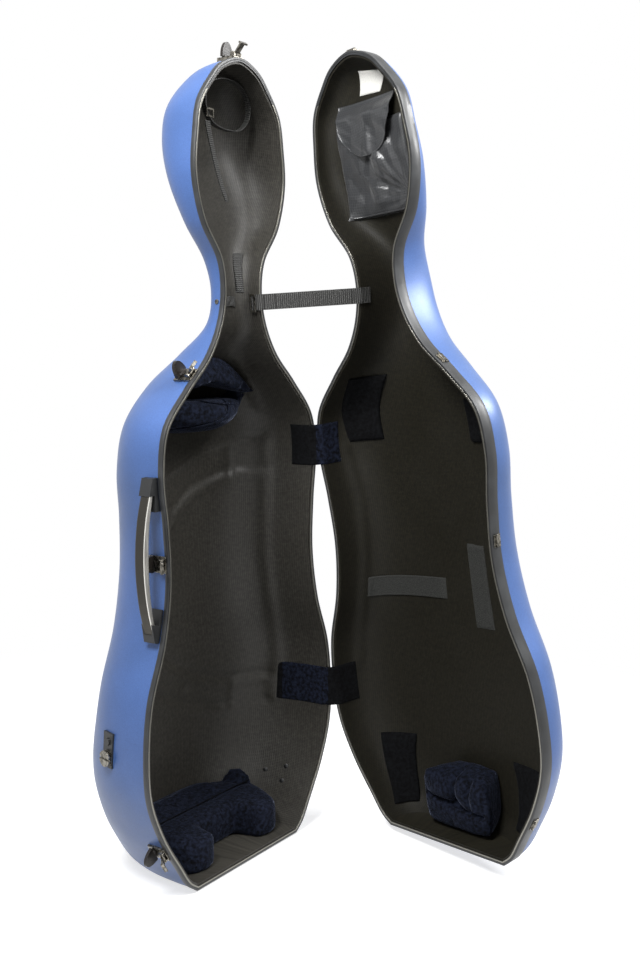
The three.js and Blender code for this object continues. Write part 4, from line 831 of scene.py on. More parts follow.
class Maker:
    """Turns points in millimetres into objects in the shared frame."""

    @staticmethod
    def mesh(
        name: str,
        points: Points,
        faces: Sequence[Sequence[int]],
        material: Material,
        uvs: Points | None = None,
        lid: bool = False,
        sharp: float = 35.0,
    ) -> Piece:
        """Makes a mesh object.

        Args:
            name: The object's name.
            points: Its points, with the lid closed.
            faces: Its faces.
            material: Its material.
            uvs: A pattern coordinate in millimetres for each point.
            lid: Whether it belongs to the opened lid.
            sharp: The angle above which an edge stays sharp, in degrees.

        Returns:
            The object.
        """
        placed = CASE.seated(CASE.opened(points) if lid else np.asarray(points, float))
        data = bpy.data.meshes.new(name)
        data.from_pydata(placed.tolist(), [], [list(map(int, f)) for f in faces])
        data.validate()
        if uvs is not None:
            layer = data.uv_layers.new(name="surface")
            index = np.empty(len(data.loops), int)
            data.loops.foreach_get("vertex_index", index)
            layer.data.foreach_set("uv", np.asarray(uvs, np.float32)[index].ravel())
        data.materials.append(material)
        obj = bpy.data.objects.new(name, data)
        bpy.context.scene.collection.objects.link(obj)
        Maker.face_out(obj)
        data.shade_smooth()
        data.set_sharp_from_angle(angle=math.radians(sharp))
        return obj

    @staticmethod
    def face_out(obj: Piece) -> None:
        """Turns a closed mesh's faces outwards."""
        data = obj.data
        data.calc_loop_triangles()
        points = np.array([v.co for v in data.vertices], float)
        corners = np.array([t.vertices for t in data.loop_triangles])
        a, b, c = points[corners[:, 0]], points[corners[:, 1]], points[corners[:, 2]]
        if np.einsum("ij,ij->i", a, np.cross(b, c)).sum() < 0:
            data.flip_normals()

    @staticmethod
    def grid_faces(rows: int, columns: int, offset: int = 0) -> list[list[int]]:
        """Gives the faces of a grid of points."""
        index = offset + np.arange(rows * columns).reshape(rows, columns)
        quads = np.stack([index[:-1, :-1], index[:-1, 1:], index[1:, 1:], index[1:, :-1]], -1)
        return quads.reshape(-1, 4).tolist()

    @staticmethod
    def slab(
        name: str,
        top: Points,
        bottom: Points,
        material: Material,
        lid: bool = False,
        sharp: float = 50.0,
    ) -> Piece:
        """Makes the closed solid between two grids that face each other.

        Args:
            name: The object's name.
            top: Its front grid, rows by columns by three.
            bottom: Its back grid.
            material: Its material.
            lid: Whether it belongs to the opened lid.
            sharp: The angle above which an edge stays sharp.

        Returns:
            The object, with pattern coordinates along the front.
        """
        rows, columns = top.shape[:2]
        count = rows * columns
        across = np.zeros((rows, columns))
        across[:, 1:] = np.cumsum(np.linalg.norm(np.diff(top, axis=1), axis=2), axis=1)
        down = np.zeros((rows, columns))
        down[1:] = np.cumsum(np.linalg.norm(np.diff(top, axis=0), axis=2), axis=0)
        uvs = np.stack([across, down], -1).reshape(-1, 2)
        faces = Maker.grid_faces(rows, columns)
        faces += [f[::-1] for f in Maker.grid_faces(rows, columns, count)]
        edge = [r * columns for r in range(rows)]
        border = list(range(columns)) + [r * columns + columns - 1 for r in range(1, rows)]
        border += [(rows - 1) * columns + c for c in range(columns - 2, -1, -1)] + edge[-2:0:-1]
        for a, b in zip(border, border[1:] + border[:1]):
            faces.append([b, a, a + count, b + count])
        points = np.vstack([top.reshape(-1, 3), bottom.reshape(-1, 3)])
        return Maker.mesh(name, points, faces, material, np.vstack([uvs, uvs]), lid, sharp)

    @staticmethod
    def lid_cloth(name: str, face: Points, thickness: float, material: Material) -> Piece:
        """Makes a thin sheet in the opened lid, behind a grid of points that looks out of the lid."""
        normal = unit(np.cross(np.gradient(face, axis=1), np.gradient(face, axis=0)))
        if normal[..., 1].mean() < 0:
            normal = -normal
        return Maker.slab(name, face, face - normal * thickness, material, True, 60.0)

    @staticmethod
    def round_faces(rings: int, sides: int) -> list[list[int]]:
        """Gives the faces through open rings of points, with the foot and the top closed."""
        faces = []
        for k in range(rings - 1):
            for i in range(sides):
                j = (i + 1) % sides
                faces.append([k * sides + i, k * sides + j, (k + 1) * sides + j, (k + 1) * sides + i])
        last = (rings - 1) * sides
        return faces + [list(range(sides))[::-1], [last + i for i in range(sides)]]

    @staticmethod
    def turned(
        name: str,
        profile: Sequence[tuple[float, float]],
        foot: Sequence[float],
        axis: Sequence[float],
        material: Material,
        sides: int = 24,
    ) -> Piece:
        """Makes a piece turned about an axis.

        Args:
            name: The object's name.
            profile: Radius and height pairs, from the middle of its foot to the middle of its top.
            foot: The middle of its foot.
            axis: The way that it stands up.
            material: Its material.
            sides: Steps round it.

        Returns:
            The object.
        """
        up = unit(np.asarray(axis, float))
        first = unit(np.cross(up, (0.13, 0.31, 0.94)))
        second = np.cross(up, first)
        angles = np.arange(sides) * 2 * math.pi / sides
        around = np.outer(np.cos(angles), first) + np.outer(np.sin(angles), second)
        inner = [(max(r, 0.02), h) for r, h in profile]
        points = np.vstack([np.asarray(foot, float) + r * around + h * up for r, h in inner])
        return Maker.mesh(name, points, Maker.round_faces(len(inner), sides), material, sharp=40.0)

    @staticmethod
    def joined(name: str, pieces: Sequence[Piece]) -> Piece:
        """Joins pieces into the first one, which takes a name."""
        whole = bmesh.new()
        for piece in pieces:
            whole.from_mesh(piece.data)
        whole.to_mesh(pieces[0].data)
        whole.free()
        for piece in pieces[1:]:
            bpy.data.objects.remove(piece)
        pieces[0].name = name
        return pieces[0]

    @staticmethod
    def rings(
        name: str, rings: Sequence[Points], material: Material, lid: bool = False, sharp: float = 35.0
    ) -> Piece:
        """Makes the closed band through rings of equally many points.

        Args:
            name: The object's name.
            rings: The rings, in order round the band's section.
            material: Its material.
            lid: Whether it belongs to the opened lid.
            sharp: The angle above which an edge stays sharp.

        Returns:
            The object.
        """
        stations = len(rings[0])
        faces = []
        for k in range(len(rings)):
            near, far = k * stations, (k + 1) % len(rings) * stations
            for i in range(stations):
                j = (i + 1) % stations
                faces.append([near + i, near + j, far + j, far + i])
        along = np.concatenate([[0], np.cumsum(np.linalg.norm(np.diff(rings[0], axis=0), axis=1))])
        uvs = np.vstack([np.stack([along, np.full(stations, 3.0 * k)], 1) for k in range(len(rings))])
        return Maker.mesh(name, np.vstack(rings), faces, material, uvs, lid, sharp)

    @staticmethod
    def tube(
        name: str, path: Points, radius: float, material: Material, lid: bool = False, sides: int = 8
    ) -> Piece:
        """Makes a round tube along points.

        Args:
            name: The object's name.
            path: The points of its middle line.
            radius: Its radius.
            material: Its material.
            lid: Whether it belongs to the opened lid.
            sides: Its number of sides.

        Returns:
            The object.
        """
        path = np.asarray(path, float)
        after = np.vstack([path[1:], 2 * path[-1] - path[-2]])
        before = np.vstack([2 * path[0] - path[1], path[:-1]])
        along = unit(after - before)
        normal = unit(np.cross(along[0], (0.31, 0.17, 0.94)))
        angles = np.arange(sides) * 2 * math.pi / sides
        rings = []
        for point, direction in zip(path, along):
            normal = unit(normal - direction * np.dot(normal, direction))
            side = np.cross(direction, normal)
            rings.append(point + radius * (np.outer(np.cos(angles), normal) + np.outer(np.sin(angles), side)))
        faces = Maker.round_faces(len(rings), sides)
        return Maker.mesh(name, np.vstack(rings), faces, material, lid=lid, sharp=60.0)


class Shape:
    """Shapes that several pieces share: grids, folds and rounded pads, in millimetres."""

    @staticmethod
    def shares(rows: int, columns: int) -> tuple[np.ndarray, np.ndarray]:
        """Gives the share down and the share across for each point of a grid."""
        return np.meshgrid(np.linspace(0, 1, rows), np.linspace(0, 1, columns), indexing="ij")

    @staticmethod
    def pillow(down: np.ndarray, across: np.ndarray, power: float = 8.0) -> np.ndarray:
        """Gives a pad's fullness: one in the middle, rounding off to nought at its edges."""
        ends = np.clip(1 - np.abs(2 * down - 1) ** power, 0, 1)
        sides = np.clip(1 - np.abs(2 * across - 1) ** power, 0, 1)
        return np.sqrt(ends * sides)

    @staticmethod
    def creases(u: np.ndarray, v: np.ndarray, seed: int, count: int = 8) -> np.ndarray:
        """Gives the flat facets and sharp creases of thin cloth.

        Args:
            u: Millimetres across.
            v: Millimetres down.
            seed: Picks the folds.
            count: How many families of folds cross.

        Returns:
            The height of the folds, from about nought to one.
        """
        draw = np.random.default_rng(seed)
        height = np.zeros(np.shape(u))
        total = 0.0
        for _ in range(count):
            turn, phase = draw.uniform(0, math.pi), draw.uniform(0, 1)
            pitch, bend = draw.uniform(34, 110), draw.uniform(0.05, 0.25)
            along = (u * math.cos(turn) + v * math.sin(turn)) / pitch + phase
            aside = (v * math.cos(turn) - u * math.sin(turn)) / pitch
            fold = np.abs(((along + bend * np.sin(2.1 * aside + 6 * phase)) % 1) * 2 - 1)
            height += fold * pitch
            total += pitch
        return height / total

    @staticmethod
    def waves(u: np.ndarray, v: np.ndarray, seed: int, pitch: float) -> np.ndarray:
        """Gives soft unevenness between minus one and one, with a pitch in millimetres."""
        draw = np.random.default_rng(seed)
        height = np.zeros(np.shape(u))
        for _ in range(5):
            turn, phase = draw.uniform(0, math.pi), draw.uniform(0, 6)
            size = pitch * draw.uniform(0.7, 1.6)
            height += np.sin((u * math.cos(turn) + v * math.sin(turn)) * 2 * math.pi / size + phase)
        return height / 5

    @staticmethod
    def resampled(path: Points, count: int, rounds: int = 2) -> Points:
        """Rounds a path's corners and spaces points evenly along it.

        Args:
            path: The path's corners.
            count: How many points.
            rounds: How often each corner is cut.

        Returns:
            The points.
        """
        points = np.asarray(path, float)
        for _ in range(rounds):
            near, far = 0.75 * points[:-1] + 0.25 * points[1:], 0.25 * points[:-1] + 0.75 * points[1:]
            cut = np.stack([near, far], 1).reshape(-1, 3)
            points = np.vstack([points[:1], cut, points[-1:]])
        steps = np.concatenate([[0], np.cumsum(np.linalg.norm(np.diff(points, axis=0), axis=1))])
        places = np.linspace(0, steps[-1], count)
        return np.stack([np.interp(places, steps, points[:, k]) for k in range(3)], 1)

    @staticmethod
    def band(
        path: Points, widthways: Sequence[float], width: float | np.ndarray, thickness: float
    ) -> tuple[Points, Points]:
        """Gives the two faces of a flat band along a path.

        Args:
            path: The band's middle line.
            widthways: The direction of its width.
            width: Its width, or one for each point.
            thickness: Its thickness.

        Returns:
            The front and back grids, whose columns run along the band.
        """
        along = unit(np.gradient(path, axis=0))
        side = np.asarray(widthways, float)
        normal = unit(np.cross(along, side))
        across = np.linspace(-0.5, 0.5, 7)[:, None, None]
        middle = path[None] + across * np.broadcast_to(width, (len(path),))[None, :, None] * side
        crown = (1 - (2 * np.abs(across)) ** 6) * thickness * 0.12
        raised = normal[None] * (thickness / 2 + crown)
        return middle + raised, middle - raised


@dataclass
class Finishes:
    """Every finish of the case, made once."""

    lacquer: Material = field(default_factory=MetallicLacquer().material)
    lining: Material = field(default_factory=MouldedLining().material)
    # The lid's lining is a darker copy of the body's: painted shade, since the inside of the opened lid gets
    # less light.
    lid_lining: Material = field(
        default_factory=MouldedLining(
            name="moulded_textile_foam_lid_painted_shade",
            colour="#191813",
            roughness=0.6,
            specular=0.16,
            dark="#11100d",
            light="#222018",
        ).material
    )
    velvet: Material = field(default_factory=Velvet().material)
    black_velvet: Material = field(
        default_factory=Velvet(
            name="black_plush",
            colour="#0a0a0b",
            sheen=0.15,
            dark="#060607",
            light="#101113",
            sheen_tint="#4c4f57",
        ).material
    )
    edging: Material = field(default_factory=BandRubber().material)
    strip: Material = field(
        default_factory=BrushedMetal(name="satin_aluminium_strip", colour="#86847d", roughness=0.4).material
    )
    nickel: Material = field(default_factory=NickelPlate().material)
    plastic: Material = field(default_factory=MouldedPlastic().material)
    turn_plastic: Material = field(
        default_factory=MouldedPlastic(
            name="moulded_brown_black_turn", colour="#1f1c1a", roughness=0.3, specular=0.3
        ).material
    )
    steel: Material = field(default_factory=PaintedHighlightFlank().material)
    webbing: Material = field(default_factory=Webbing().material)
    nylon: Material = field(default_factory=RipstopNylon().material)
    tape: Material = field(default_factory=HookTape().material)
    patch: Material = field(default_factory=FeltPatch().material)


def settle(obj: Piece, body: str | None, slot: str, *nodes: str) -> None:
    """Lets a piece ride on a body and stand for solids.

    Args:
        obj: The piece.
        body: The body it moves with, or None where it spans two bodies and rides on neither.
        slot: The record's material slot; not used.
        nodes: The solids it stands for.
    """
    if body is not None:
        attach(obj, body)
    if nodes:
        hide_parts(*nodes)


@dataclass(frozen=True)
class Crease:
    """A line pressed into a moulded lining: a groove or a raised edge."""

    points: tuple[Place, ...]
    height: float
    width: float

    def lift(self, grid: Points) -> np.ndarray:
        """Gives how far the crease lifts each point of a grid; a groove sinks it."""
        nearest = np.full(grid.shape[:-1], np.inf)
        path = np.array(self.points, float)
        for a, b in zip(path, path[1:]):
            along = b - a
            share = np.clip((grid - a) @ along / (along @ along), 0, 1)
            nearest = np.minimum(nearest, np.linalg.norm(grid - a - share[..., None] * along, axis=-1))
        return self.height * np.exp(-((nearest / self.width) ** 2))


@dataclass(frozen=True)
class LiningRelief:
    """The arcs, channels and bends that the mould pressed into a lining."""

    creases: tuple[Crease, ...]
    uneven: float = 0.35
    pitch: float = 120.0
    lowest: float = -3.5
    highest: float = 3.0

    def __call__(self, grid: Points, angles: np.ndarray) -> np.ndarray:
        """Gives the extra inset at each point of the wall, none at the rim."""
        total = sum(crease.lift(grid) for crease in self.creases)
        around = grid[..., 0] * 1.3 + grid[..., 1]
        total = total + self.uneven * Shape.waves(around, grid[..., 2], 5, self.pitch)
        from_rim = np.minimum(angles, math.pi - angles)
        return np.clip(total, self.lowest, self.highest) * smooth_step(from_rim, 0.02, 0.25)


BODY_RELIEF = LiningRelief((
    Crease(
        ((178, 95, 710), (157, 121, 707), (126, 139, 703), (69, 154, 687), (13, 158, 663), (-60, 159, 640)),
        -3.6,
        7,
    ),
    Crease(((134, 138, 690), (136, 139, 643)), -3.2, 6),
    Crease(
        ((179, 94, 640), (152, 128, 643), (108, 150, 630), (59, 160, 613), (13, 163, 580), (-20, 165, 530)),
        3.0,
        9,
    ),
    Crease(((179, 94, 656), (152, 128, 659), (106, 150, 646), (50, 160, 629), (2, 163, 594)), -3.0, 6),
    Crease(
        ((-40, 181, 345), (0, 181, 328), (47, 184, 298), (103, 184, 271), (165, 169, 255), (221, 120, 261)),
        -3.6,
        7,
    ),
    Crease(((-20, 181, 318), (47, 184, 282), (103, 184, 255), (165, 169, 240), (221, 120, 245)), 2.6, 8),
    Crease(((173, 166, 248), (174, 169, 201)), -3.2, 6),
    Crease(((-60, 188, 290), (0, 191, 258), (54, 195, 231), (149, 181, 205), (221, 122, 208)), -3.4, 7),
    Crease(
        ((180, 93, 703), (177, 91, 590), (177, 91, 484), (193, 93, 407), (226, 102, 291), (225, 114, 215)),
        3.0,
        12,
    ),
    Crease(((60, 191, 256), (60.5, 191, 255)), -3.0, 7),
    Crease(((40, 70, 1030), (52, 60, 960), (66, 75, 900), (110, 85, 830), (160, 92, 770)), 2.0, 12),
))
LID_RELIEF = LiningRelief((
    Crease(((189, -49, 683), (176, -58, 587), (180, -54, 477), (206, -53, 381), (231, -52, 281)), 2.4, 10),
    Crease(((-60, -110, 757), (-57, -110, 640), (-62, -110, 517)), 2.0, 16),
    Crease(((40, -90, 960), (62, -96, 900), (100, -98, 830), (150, -90, 770)), 2.0, 12),
))


@dataclass
class HalfCase:
    """One half of the case: shell, lining, rim band and light strip."""

    half: Half
    finishes: Finishes
    rows: int = 300
    columns: int = 110
    stations: int = 440
    band_width: float = 8.0
    # Height in millimetres above which the strip takes the black edging: painted shade at the crown.
    strip_painted_shade_from: float = 1270.0
    strip_profile: tuple[tuple[float, float], ...] = (
        (0.15, 2.9), (0.35, 2.7), (2.15, 2.7), (2.15, 5.2), (0.35, 5.2), (0.15, 5.0),
    )

    @property
    def key(self) -> str:
        """The half's word in node names."""
        return "body" if self.half is Half.BODY else "lid"

    @property
    def on(self) -> str:
        """The body that the half moves with."""
        return "case_body" if self.half is Half.BODY else "lid"

    def band_profile(self) -> list[tuple[float, float]]:
        """Gives the edging's section, as depths behind the rim plane and insets."""
        full = self.band_width
        return [
            (0.15, -1.1), (0.27, -1.38), (0.55, -1.5), (full * 0.5, -1.6), (full - 0.5, -1.5),
            (full - 0.1, -1.25), (full, -0.9), (full, -0.3), (2.15, -0.3), (2.15, 2.1),
            (1.9, 2.35), (0.45, 2.4), (0.2, 2.15), (0.15, 1.8),
        ]

    def surface(self, inset: float, relief: LiningRelief | None) -> tuple[Points, Points]:
        """Gives a wall surface as a grid, with its pattern coordinates.

        Args:
            inset: How far inside the outer face.
            relief: Extra inset at heights and angles.

        Returns:
            The points and their coordinates, the crown last.
        """
        heights = CASE.levels(CASE.base + inset, CASE.height - inset, self.rows)[:-1]
        angles = CASE.section_angles(self.columns)
        z, a = np.meshgrid(heights, angles, indexing="ij")
        grid = CASE.wall(self.half, z, a, inset)
        if relief is not None:
            step = 10.0
            deeper = CASE.wall(self.half, z, a, inset + step)
            grid = grid + (deeper - grid) * (relief(grid, a) / step)[..., None]
        around = np.zeros(z.shape)
        around[:, 1:] = np.cumsum(np.linalg.norm(np.diff(grid, axis=1), axis=2), axis=1)
        around -= around[:, [self.columns // 2]]
        crown = np.array([[0, self.half.value * CASE.edge_plane, CASE.height - inset]])
        points = np.vstack([grid.reshape(-1, 3), crown])
        uvs = np.vstack([np.stack([around, z], -1).reshape(-1, 2), [[0, CASE.height]]])
        return points, uvs

    def skin(
        self, name: str, insets: tuple[float, float], material: Material, relief: LiningRelief | None = None
    ) -> Piece:
        """Makes one moulded skin between two insets.

        Args:
            name: The piece's name.
            insets: Its outer and inner inset.
            material: Its material.
            relief: Extra inset of its inner face.

        Returns:
            The object.
        """
        outer, outer_uv = self.surface(insets[0], None)
        inner, inner_uv = self.surface(insets[1], relief)
        columns = len(CASE.section_angles(self.columns))
        rows = self.rows
        shift = rows * columns + 1
        faces = []
        for offset, turned in ((0, False), (shift, True)):
            part = Maker.grid_faces(rows, columns, offset)
            last, crown = offset + (rows - 1) * columns, offset + rows * columns
            part += [[last + j, last + j + 1, crown] for j in range(columns - 1)]
            for j in range(columns // 2):
                left, right = offset + j, offset + columns - 1 - j
                if right - 1 > left + 1:
                    part.append([left + 1, left, right, right - 1])
            faces += [f[::-1] for f in part] if turned else part
        for j in (0, columns - 1):
            edge = [i * columns + j for i in range(rows)] + [rows * columns]
            for a, b in zip(edge, edge[1:]):
                faces.append([a, b, b + shift, a + shift] if j == 0 else [b, a, a + shift, b + shift])
        faces.append([columns - 1, 0, shift, shift + columns - 1])
        points, uvs = np.vstack([outer, inner]), np.vstack([outer_uv, inner_uv])
        return Maker.mesh(name, points, faces, material, uvs, self.half is Half.LID, 50.0)

    def rim(self, name: str, profile: Sequence[tuple[float, float]], material: Material) -> Piece:
        """Makes a band round the rim from its section, given as depths behind the rim plane and insets."""
        rings = [CASE.ring(self.half, depth, inset, self.stations) for depth, inset in profile]
        return Maker.rings(f"{self.key}_{name}", rings, material, self.half is Half.LID)

    def build(self, relief: LiningRelief) -> None:
        """Builds the half and lets its pieces stand for the solids.

        Args:
            relief: Extra inset of the lining's inner face.
        """
        looks = self.finishes
        shell = self.skin(self.key + "_shell_skin", (0.0, CASE.shell_wall), looks.lacquer)
        settle(shell, self.on, "lacquered_shell", self.key + "_shell")
        # The lid half takes the darker lining copy, which is painted shade.
        cloth = looks.lid_lining if self.half is Half.LID else looks.lining
        lining = self.skin(self.key + "_lining_skin", (CASE.lining_outer, CASE.lining_inner), cloth, relief)
        settle(lining, self.on, "lining_foam", self.key + "_lining")
        band = self.rim("rim_edging", self.band_profile(), looks.edging)
        settle(band, self.on, "black_rubber", self.key + "_rim_band")
        strip = self.rim("rim_strip", self.strip_profile, looks.strip)
        # Painted shade: the strip's faces near the crown take the black edging, darker than the strip.
        strip.data.materials.append(looks.edging)
        for face in strip.data.polygons:
            face.material_index = int(face.center.z > self.strip_painted_shade_from * MM)
        settle(strip, self.on, "rim_strip", self.key + "_valance")
        LOG.info("built the %s half", self.key)


@dataclass(frozen=True)
class Seam:
    """A seam: a line off a cushion, in millimetres, the way it is thrown, and the groove that it draws."""

    corners: tuple[Place, ...]
    way: Place
    depth: float = 2.4
    width: float = 4.5


BOTTOM_SEAM = Seam(((-150, 120, 160), (-60, 120, 160), (60, 120, 160), (215, 120, 160)), (0, 0, -1))
SHOULDER_SEAMS = {
    "ledge": Seam(((-46, -40, 799), (-31, -40, 786), (18, -40, 778), (62, -40, 777)), (0, 1, 0)),
    "lower": Seam(
        (
            (-138, -40, 739), (-94, -40, 736), (-51, -40, 741), (-12, -40, 746),
            (16, -40, 753), (36, -40, 763), (47, -40, 792),
        ),
        (0, 1, 0),
    ),
}
LID_SEAMS = (
    Seam(((62, 30, 71), (-4, 30, 63), (-70, 30, 55)), (0, -1, 0), 10, 3.6),
    Seam(((-4, 30, 66), (-4, 30, 120)), (0, -1, 0), 6, 5),
    Seam(((-42, 30, 62), (-42, 30, 112)), (0, -1, 0), 4.5, 5),
    Seam(((-4, 30, 63), (-4.5, 30, 63)), (0, -1, 0), 8, 11),
)


@dataclass
class Cushions:
    """The three cushions: foam blocks under plush, swollen by their stuffing, sewn and piped."""

    finishes: Finishes
    voxel: float = 5.0
    easing: float = 0.6
    easing_rounds: int = 4
    pressure: float = 4.0
    quality: int = 5
    frames: int = 20
    seam_points: int = 90
    piping_points: int = 70

    def copy_of(self, node: str, name: str) -> Piece:
        """Copies a solid's mesh into a new object."""
        data = frame["nodes"][node].data.copy()
        data.materials.clear()
        obj = bpy.data.objects.new(name, data)
        bpy.context.scene.collection.objects.link(obj)
        return obj

    def apply(self, obj: Piece) -> None:
        """Applies every modifier of an object."""
        graph = bpy.context.evaluated_depsgraph_get()
        data = bpy.data.meshes.new_from_object(obj.evaluated_get(graph))
        obj.modifiers.clear()
        obj.data = data

    def swell(self, obj: Piece, cap: float) -> None:
        """Lets the stuffing swell a skin, no point by more than a cap in millimetres."""
        before = np.array([v.co for v in obj.data.vertices], float)
        cloth = obj.modifiers.new("cloth", "CLOTH")
        cloth.settings.use_pressure = True
        cloth.settings.uniform_pressure_force = self.pressure
        cloth.settings.effector_weights.gravity = 0
        cloth.settings.quality = self.quality
        cloth.point_cache.frame_start = 1
        cloth.point_cache.frame_end = self.frames
        for step in range(1, self.frames + 1):
            bpy.context.scene.frame_set(step)
        self.apply(obj)
        moved = np.array([v.co for v in obj.data.vertices], float) - before
        length = np.linalg.norm(moved, axis=1, keepdims=True)
        moved *= np.minimum(1, cap * MM / np.maximum(length, 1e-9))
        obj.data.vertices.foreach_set("co", (before + moved).astype(np.float32).ravel())
        bpy.context.scene.frame_set(1)

    def skin(self, obj: Piece, cap: float) -> None:
        """Gives a foam block its even skin, swells it where there is time and rounds it.

        Args:
            obj: The block.
            cap: How far a point may move, in millimetres.
        """
        remesh = obj.modifiers.new("skin", "REMESH")
        remesh.mode = "VOXEL"
        remesh.voxel_size = self.voxel * MM
        smoother = obj.modifiers.new("ease", "SMOOTH")
        smoother.factor = self.easing
        smoother.iterations = self.easing_rounds
        self.apply(obj)
        self.swell(obj, cap)
        rounder = obj.modifiers.new("fine", "SUBSURF")
        rounder.levels = rounder.render_levels = 1
        self.apply(obj)
        obj.data.shade_smooth()

    def sewn(self, obj: Piece, seam: Seam, lid: bool = False) -> Points:
        """Draws a seam into a cushion, where a line thrown at it lands.

        Args:
            obj: The cushion.
            seam: The seam.
            lid: Whether the cushion lies in the opened lid.

        Returns:
            The seam's line as it lands, in millimetres at rest.
        """
        points = np.array([v.co for v in obj.data.vertices], float)
        normals = np.array([v.normal for v in obj.data.vertices], float)
        tree = BVHTree.FromPolygons(points.tolist(), [tuple(p.vertices) for p in obj.data.polygons])
        corners, way = np.array(seam.corners, float), np.array(seam.way, float)
        if lid:
            corners, way = CASE.opened(corners), CASE.open_turn[:3, :3] @ way
        line = CASE.seated(Shape.resampled(corners, self.seam_points))
        landed = [tree.ray_cast(Vector(start), Vector(way))[0] for start in line]
        path = np.array([spot for spot in landed if spot is not None], float)
        gaps = np.linalg.norm(points[:, None] - path[None, ::2], axis=2).min(1) / MM
        points -= normals * (seam.depth * MM * np.exp(-((gaps / seam.width) ** 2)))[:, None]
        obj.data.vertices.foreach_set("co", points.astype(np.float32).ravel())
        obj.data.update()
        return Shape.resampled(path / MM + (0, CASE.base_centre, 0), self.piping_points)

    def piped(self, obj: Piece, name: str, seam: Seam, radius: float, material: Material) -> None:
        """Draws a seam into a cushion of the body and lays piping along it."""
        line = self.sewn(obj, seam)
        settle(Maker.tube(name, line, radius, material), "case_body", "velvet")

    def dress(self, node: str, body: str, cap: float, fill: float) -> Piece:
        """Makes the stuffed piece that stands for a soft solid.

        Args:
            node: The solid.
            body: The body it moves with.
            cap: How far its skin may swell.
            fill: How full it is; not used.

        Returns:
            The piece.
        """
        obj = self.copy_of(node, node + "_plush")
        self.skin(obj, cap)
        obj.data.materials.clear()
        obj.data.materials.append(self.finishes.velvet)
        settle(obj, body, "velvet", node)
        LOG.info("made %s", obj.name)
        return obj

    def build(self) -> None:
        """Builds the cushions with their seams and piping."""
        foot = self.dress("bottom_cushion", "case_body", 5, 0.7)
        # The bottom seam's black plush piping darkens the seam line: painted shade for its groove.
        self.piped(foot, "bottom_cushion_seam", BOTTOM_SEAM, 0.9, self.finishes.black_velvet)
        shoulder = self.dress("shoulder_cushion", "case_body", 4, 0.7)
        for name, seam in SHOULDER_SEAMS.items():
            self.piped(shoulder, f"shoulder_cushion_{name}_piping", seam, 1.7, self.finishes.velvet)
        head = self.dress("lid_cushion", "lid", 3, 0.8)
        for seam in LID_SEAMS:
            self.sewn(head, seam, lid=True)


@dataclass(frozen=True)
class PadPlace:
    """Where a pad or strip lies on the lid's lining: shares of the height and angles round the section."""

    node: str
    up_shares: tuple[float, float]
    low_angles: tuple[float, float]
    high_angles: tuple[float, float]


@dataclass
class LiningPads:
    """The plush pads and the hook-and-loop strips that lie on the lid's lining."""

    finishes: Finishes
    thickness: float = 8.0
    strip_thickness: float = 3.0
    sunk: float = 1.5
    steps: int = 48
    pad_span: tuple[float, float] = (110.0, 90.0)
    lump: float = 45.0
    pads: tuple[PadPlace, ...] = (
        PadPlace("lid_pad_upper_hinge", (0.5188, 0.606), (24, 58), (8, 54)),
        PadPlace("lid_pad_upper_latch", (0.5128, 0.5684), (106, 114), (106, 132)),
        PadPlace("lid_pad_lower_hinge", (0.018, 0.1053), (10, 42), (27, 60)),
        PadPlace("lid_pad_lower_latch", (0.018, 0.1), (124, 150), (105, 138)),
    )
    strips: tuple[PadPlace, ...] = (
        PadPlace("lid_hook_strip_cross", (0.3023, 0.3308), (22, 86), (22, 86)),
        PadPlace("lid_hook_strip_upright", (0.2692, 0.3805), (93, 101), (94, 104)),
    )

    def lying(self, place: PadPlace, full: Callable) -> tuple[Points, Points]:
        """Gives the face and back of a pad on the lid's lining.

        Args:
            place: Where it lies.
            full: How thick it is at each share down and across.

        Returns:
            The front and back grids.
        """
        down, across = Shape.shares(self.steps, self.steps)
        (foot, top), low, high = place.up_shares, place.low_angles, place.high_angles
        height = CASE.up(foot + (top - foot) * down)
        start = low[0] + (high[0] - low[0]) * down
        end = low[1] + (high[1] - low[1]) * down
        angle = np.radians(start + (end - start) * across)
        face = CASE.wall(Half.LID, height, angle, CASE.pad_inset + full(down, across))
        return face, CASE.wall(Half.LID, height, angle, CASE.lining_inner - self.sunk)

    def build(self) -> None:
        """Builds each pad and strip."""
        for seed, place in enumerate(self.pads):
            sides = self.lying(place, partial(self.plump, seed))
            obj = Maker.slab(place.node + "_plush", *sides, self.finishes.black_velvet, True)
            settle(obj, "lid", "velvet", place.node)
        for place in self.strips:
            sides = self.lying(place, self.selvedged)
            obj = Maker.slab(place.node + "_tape", *sides, self.finishes.tape, True)
            settle(obj, "lid", "webbing", place.node)
        LOG.info("laid %d pads and %d strips", len(self.pads), len(self.strips))

    def plump(self, seed: int, down: np.ndarray, across: np.ndarray) -> np.ndarray:
        """Gives a pad's thickness: full in the middle, rounded off at its edges and a little uneven."""
        uneven = Shape.waves(down * self.pad_span[0], across * self.pad_span[1], seed, self.lump)
        return self.thickness * Shape.pillow(down, across) * (0.9 + 0.1 * uneven)

    def selvedged(self, down: np.ndarray, across: np.ndarray) -> np.ndarray:
        """Gives a tape's thickness: a flat field inside a raised, rounded selvedge."""
        from_edge = np.minimum(np.minimum(down, 1 - down), np.minimum(across, 1 - across))
        rim = np.exp(-(((from_edge - 0.05) / 0.025) ** 2))
        return self.strip_thickness * (Shape.pillow(down, across, 24) * 0.8 + 0.2 * rim)


@dataclass(frozen=True)
class Stripe:
    """A black stretch of a hinge cover, by shares of its length from the body to the lid."""

    start: float
    end: float


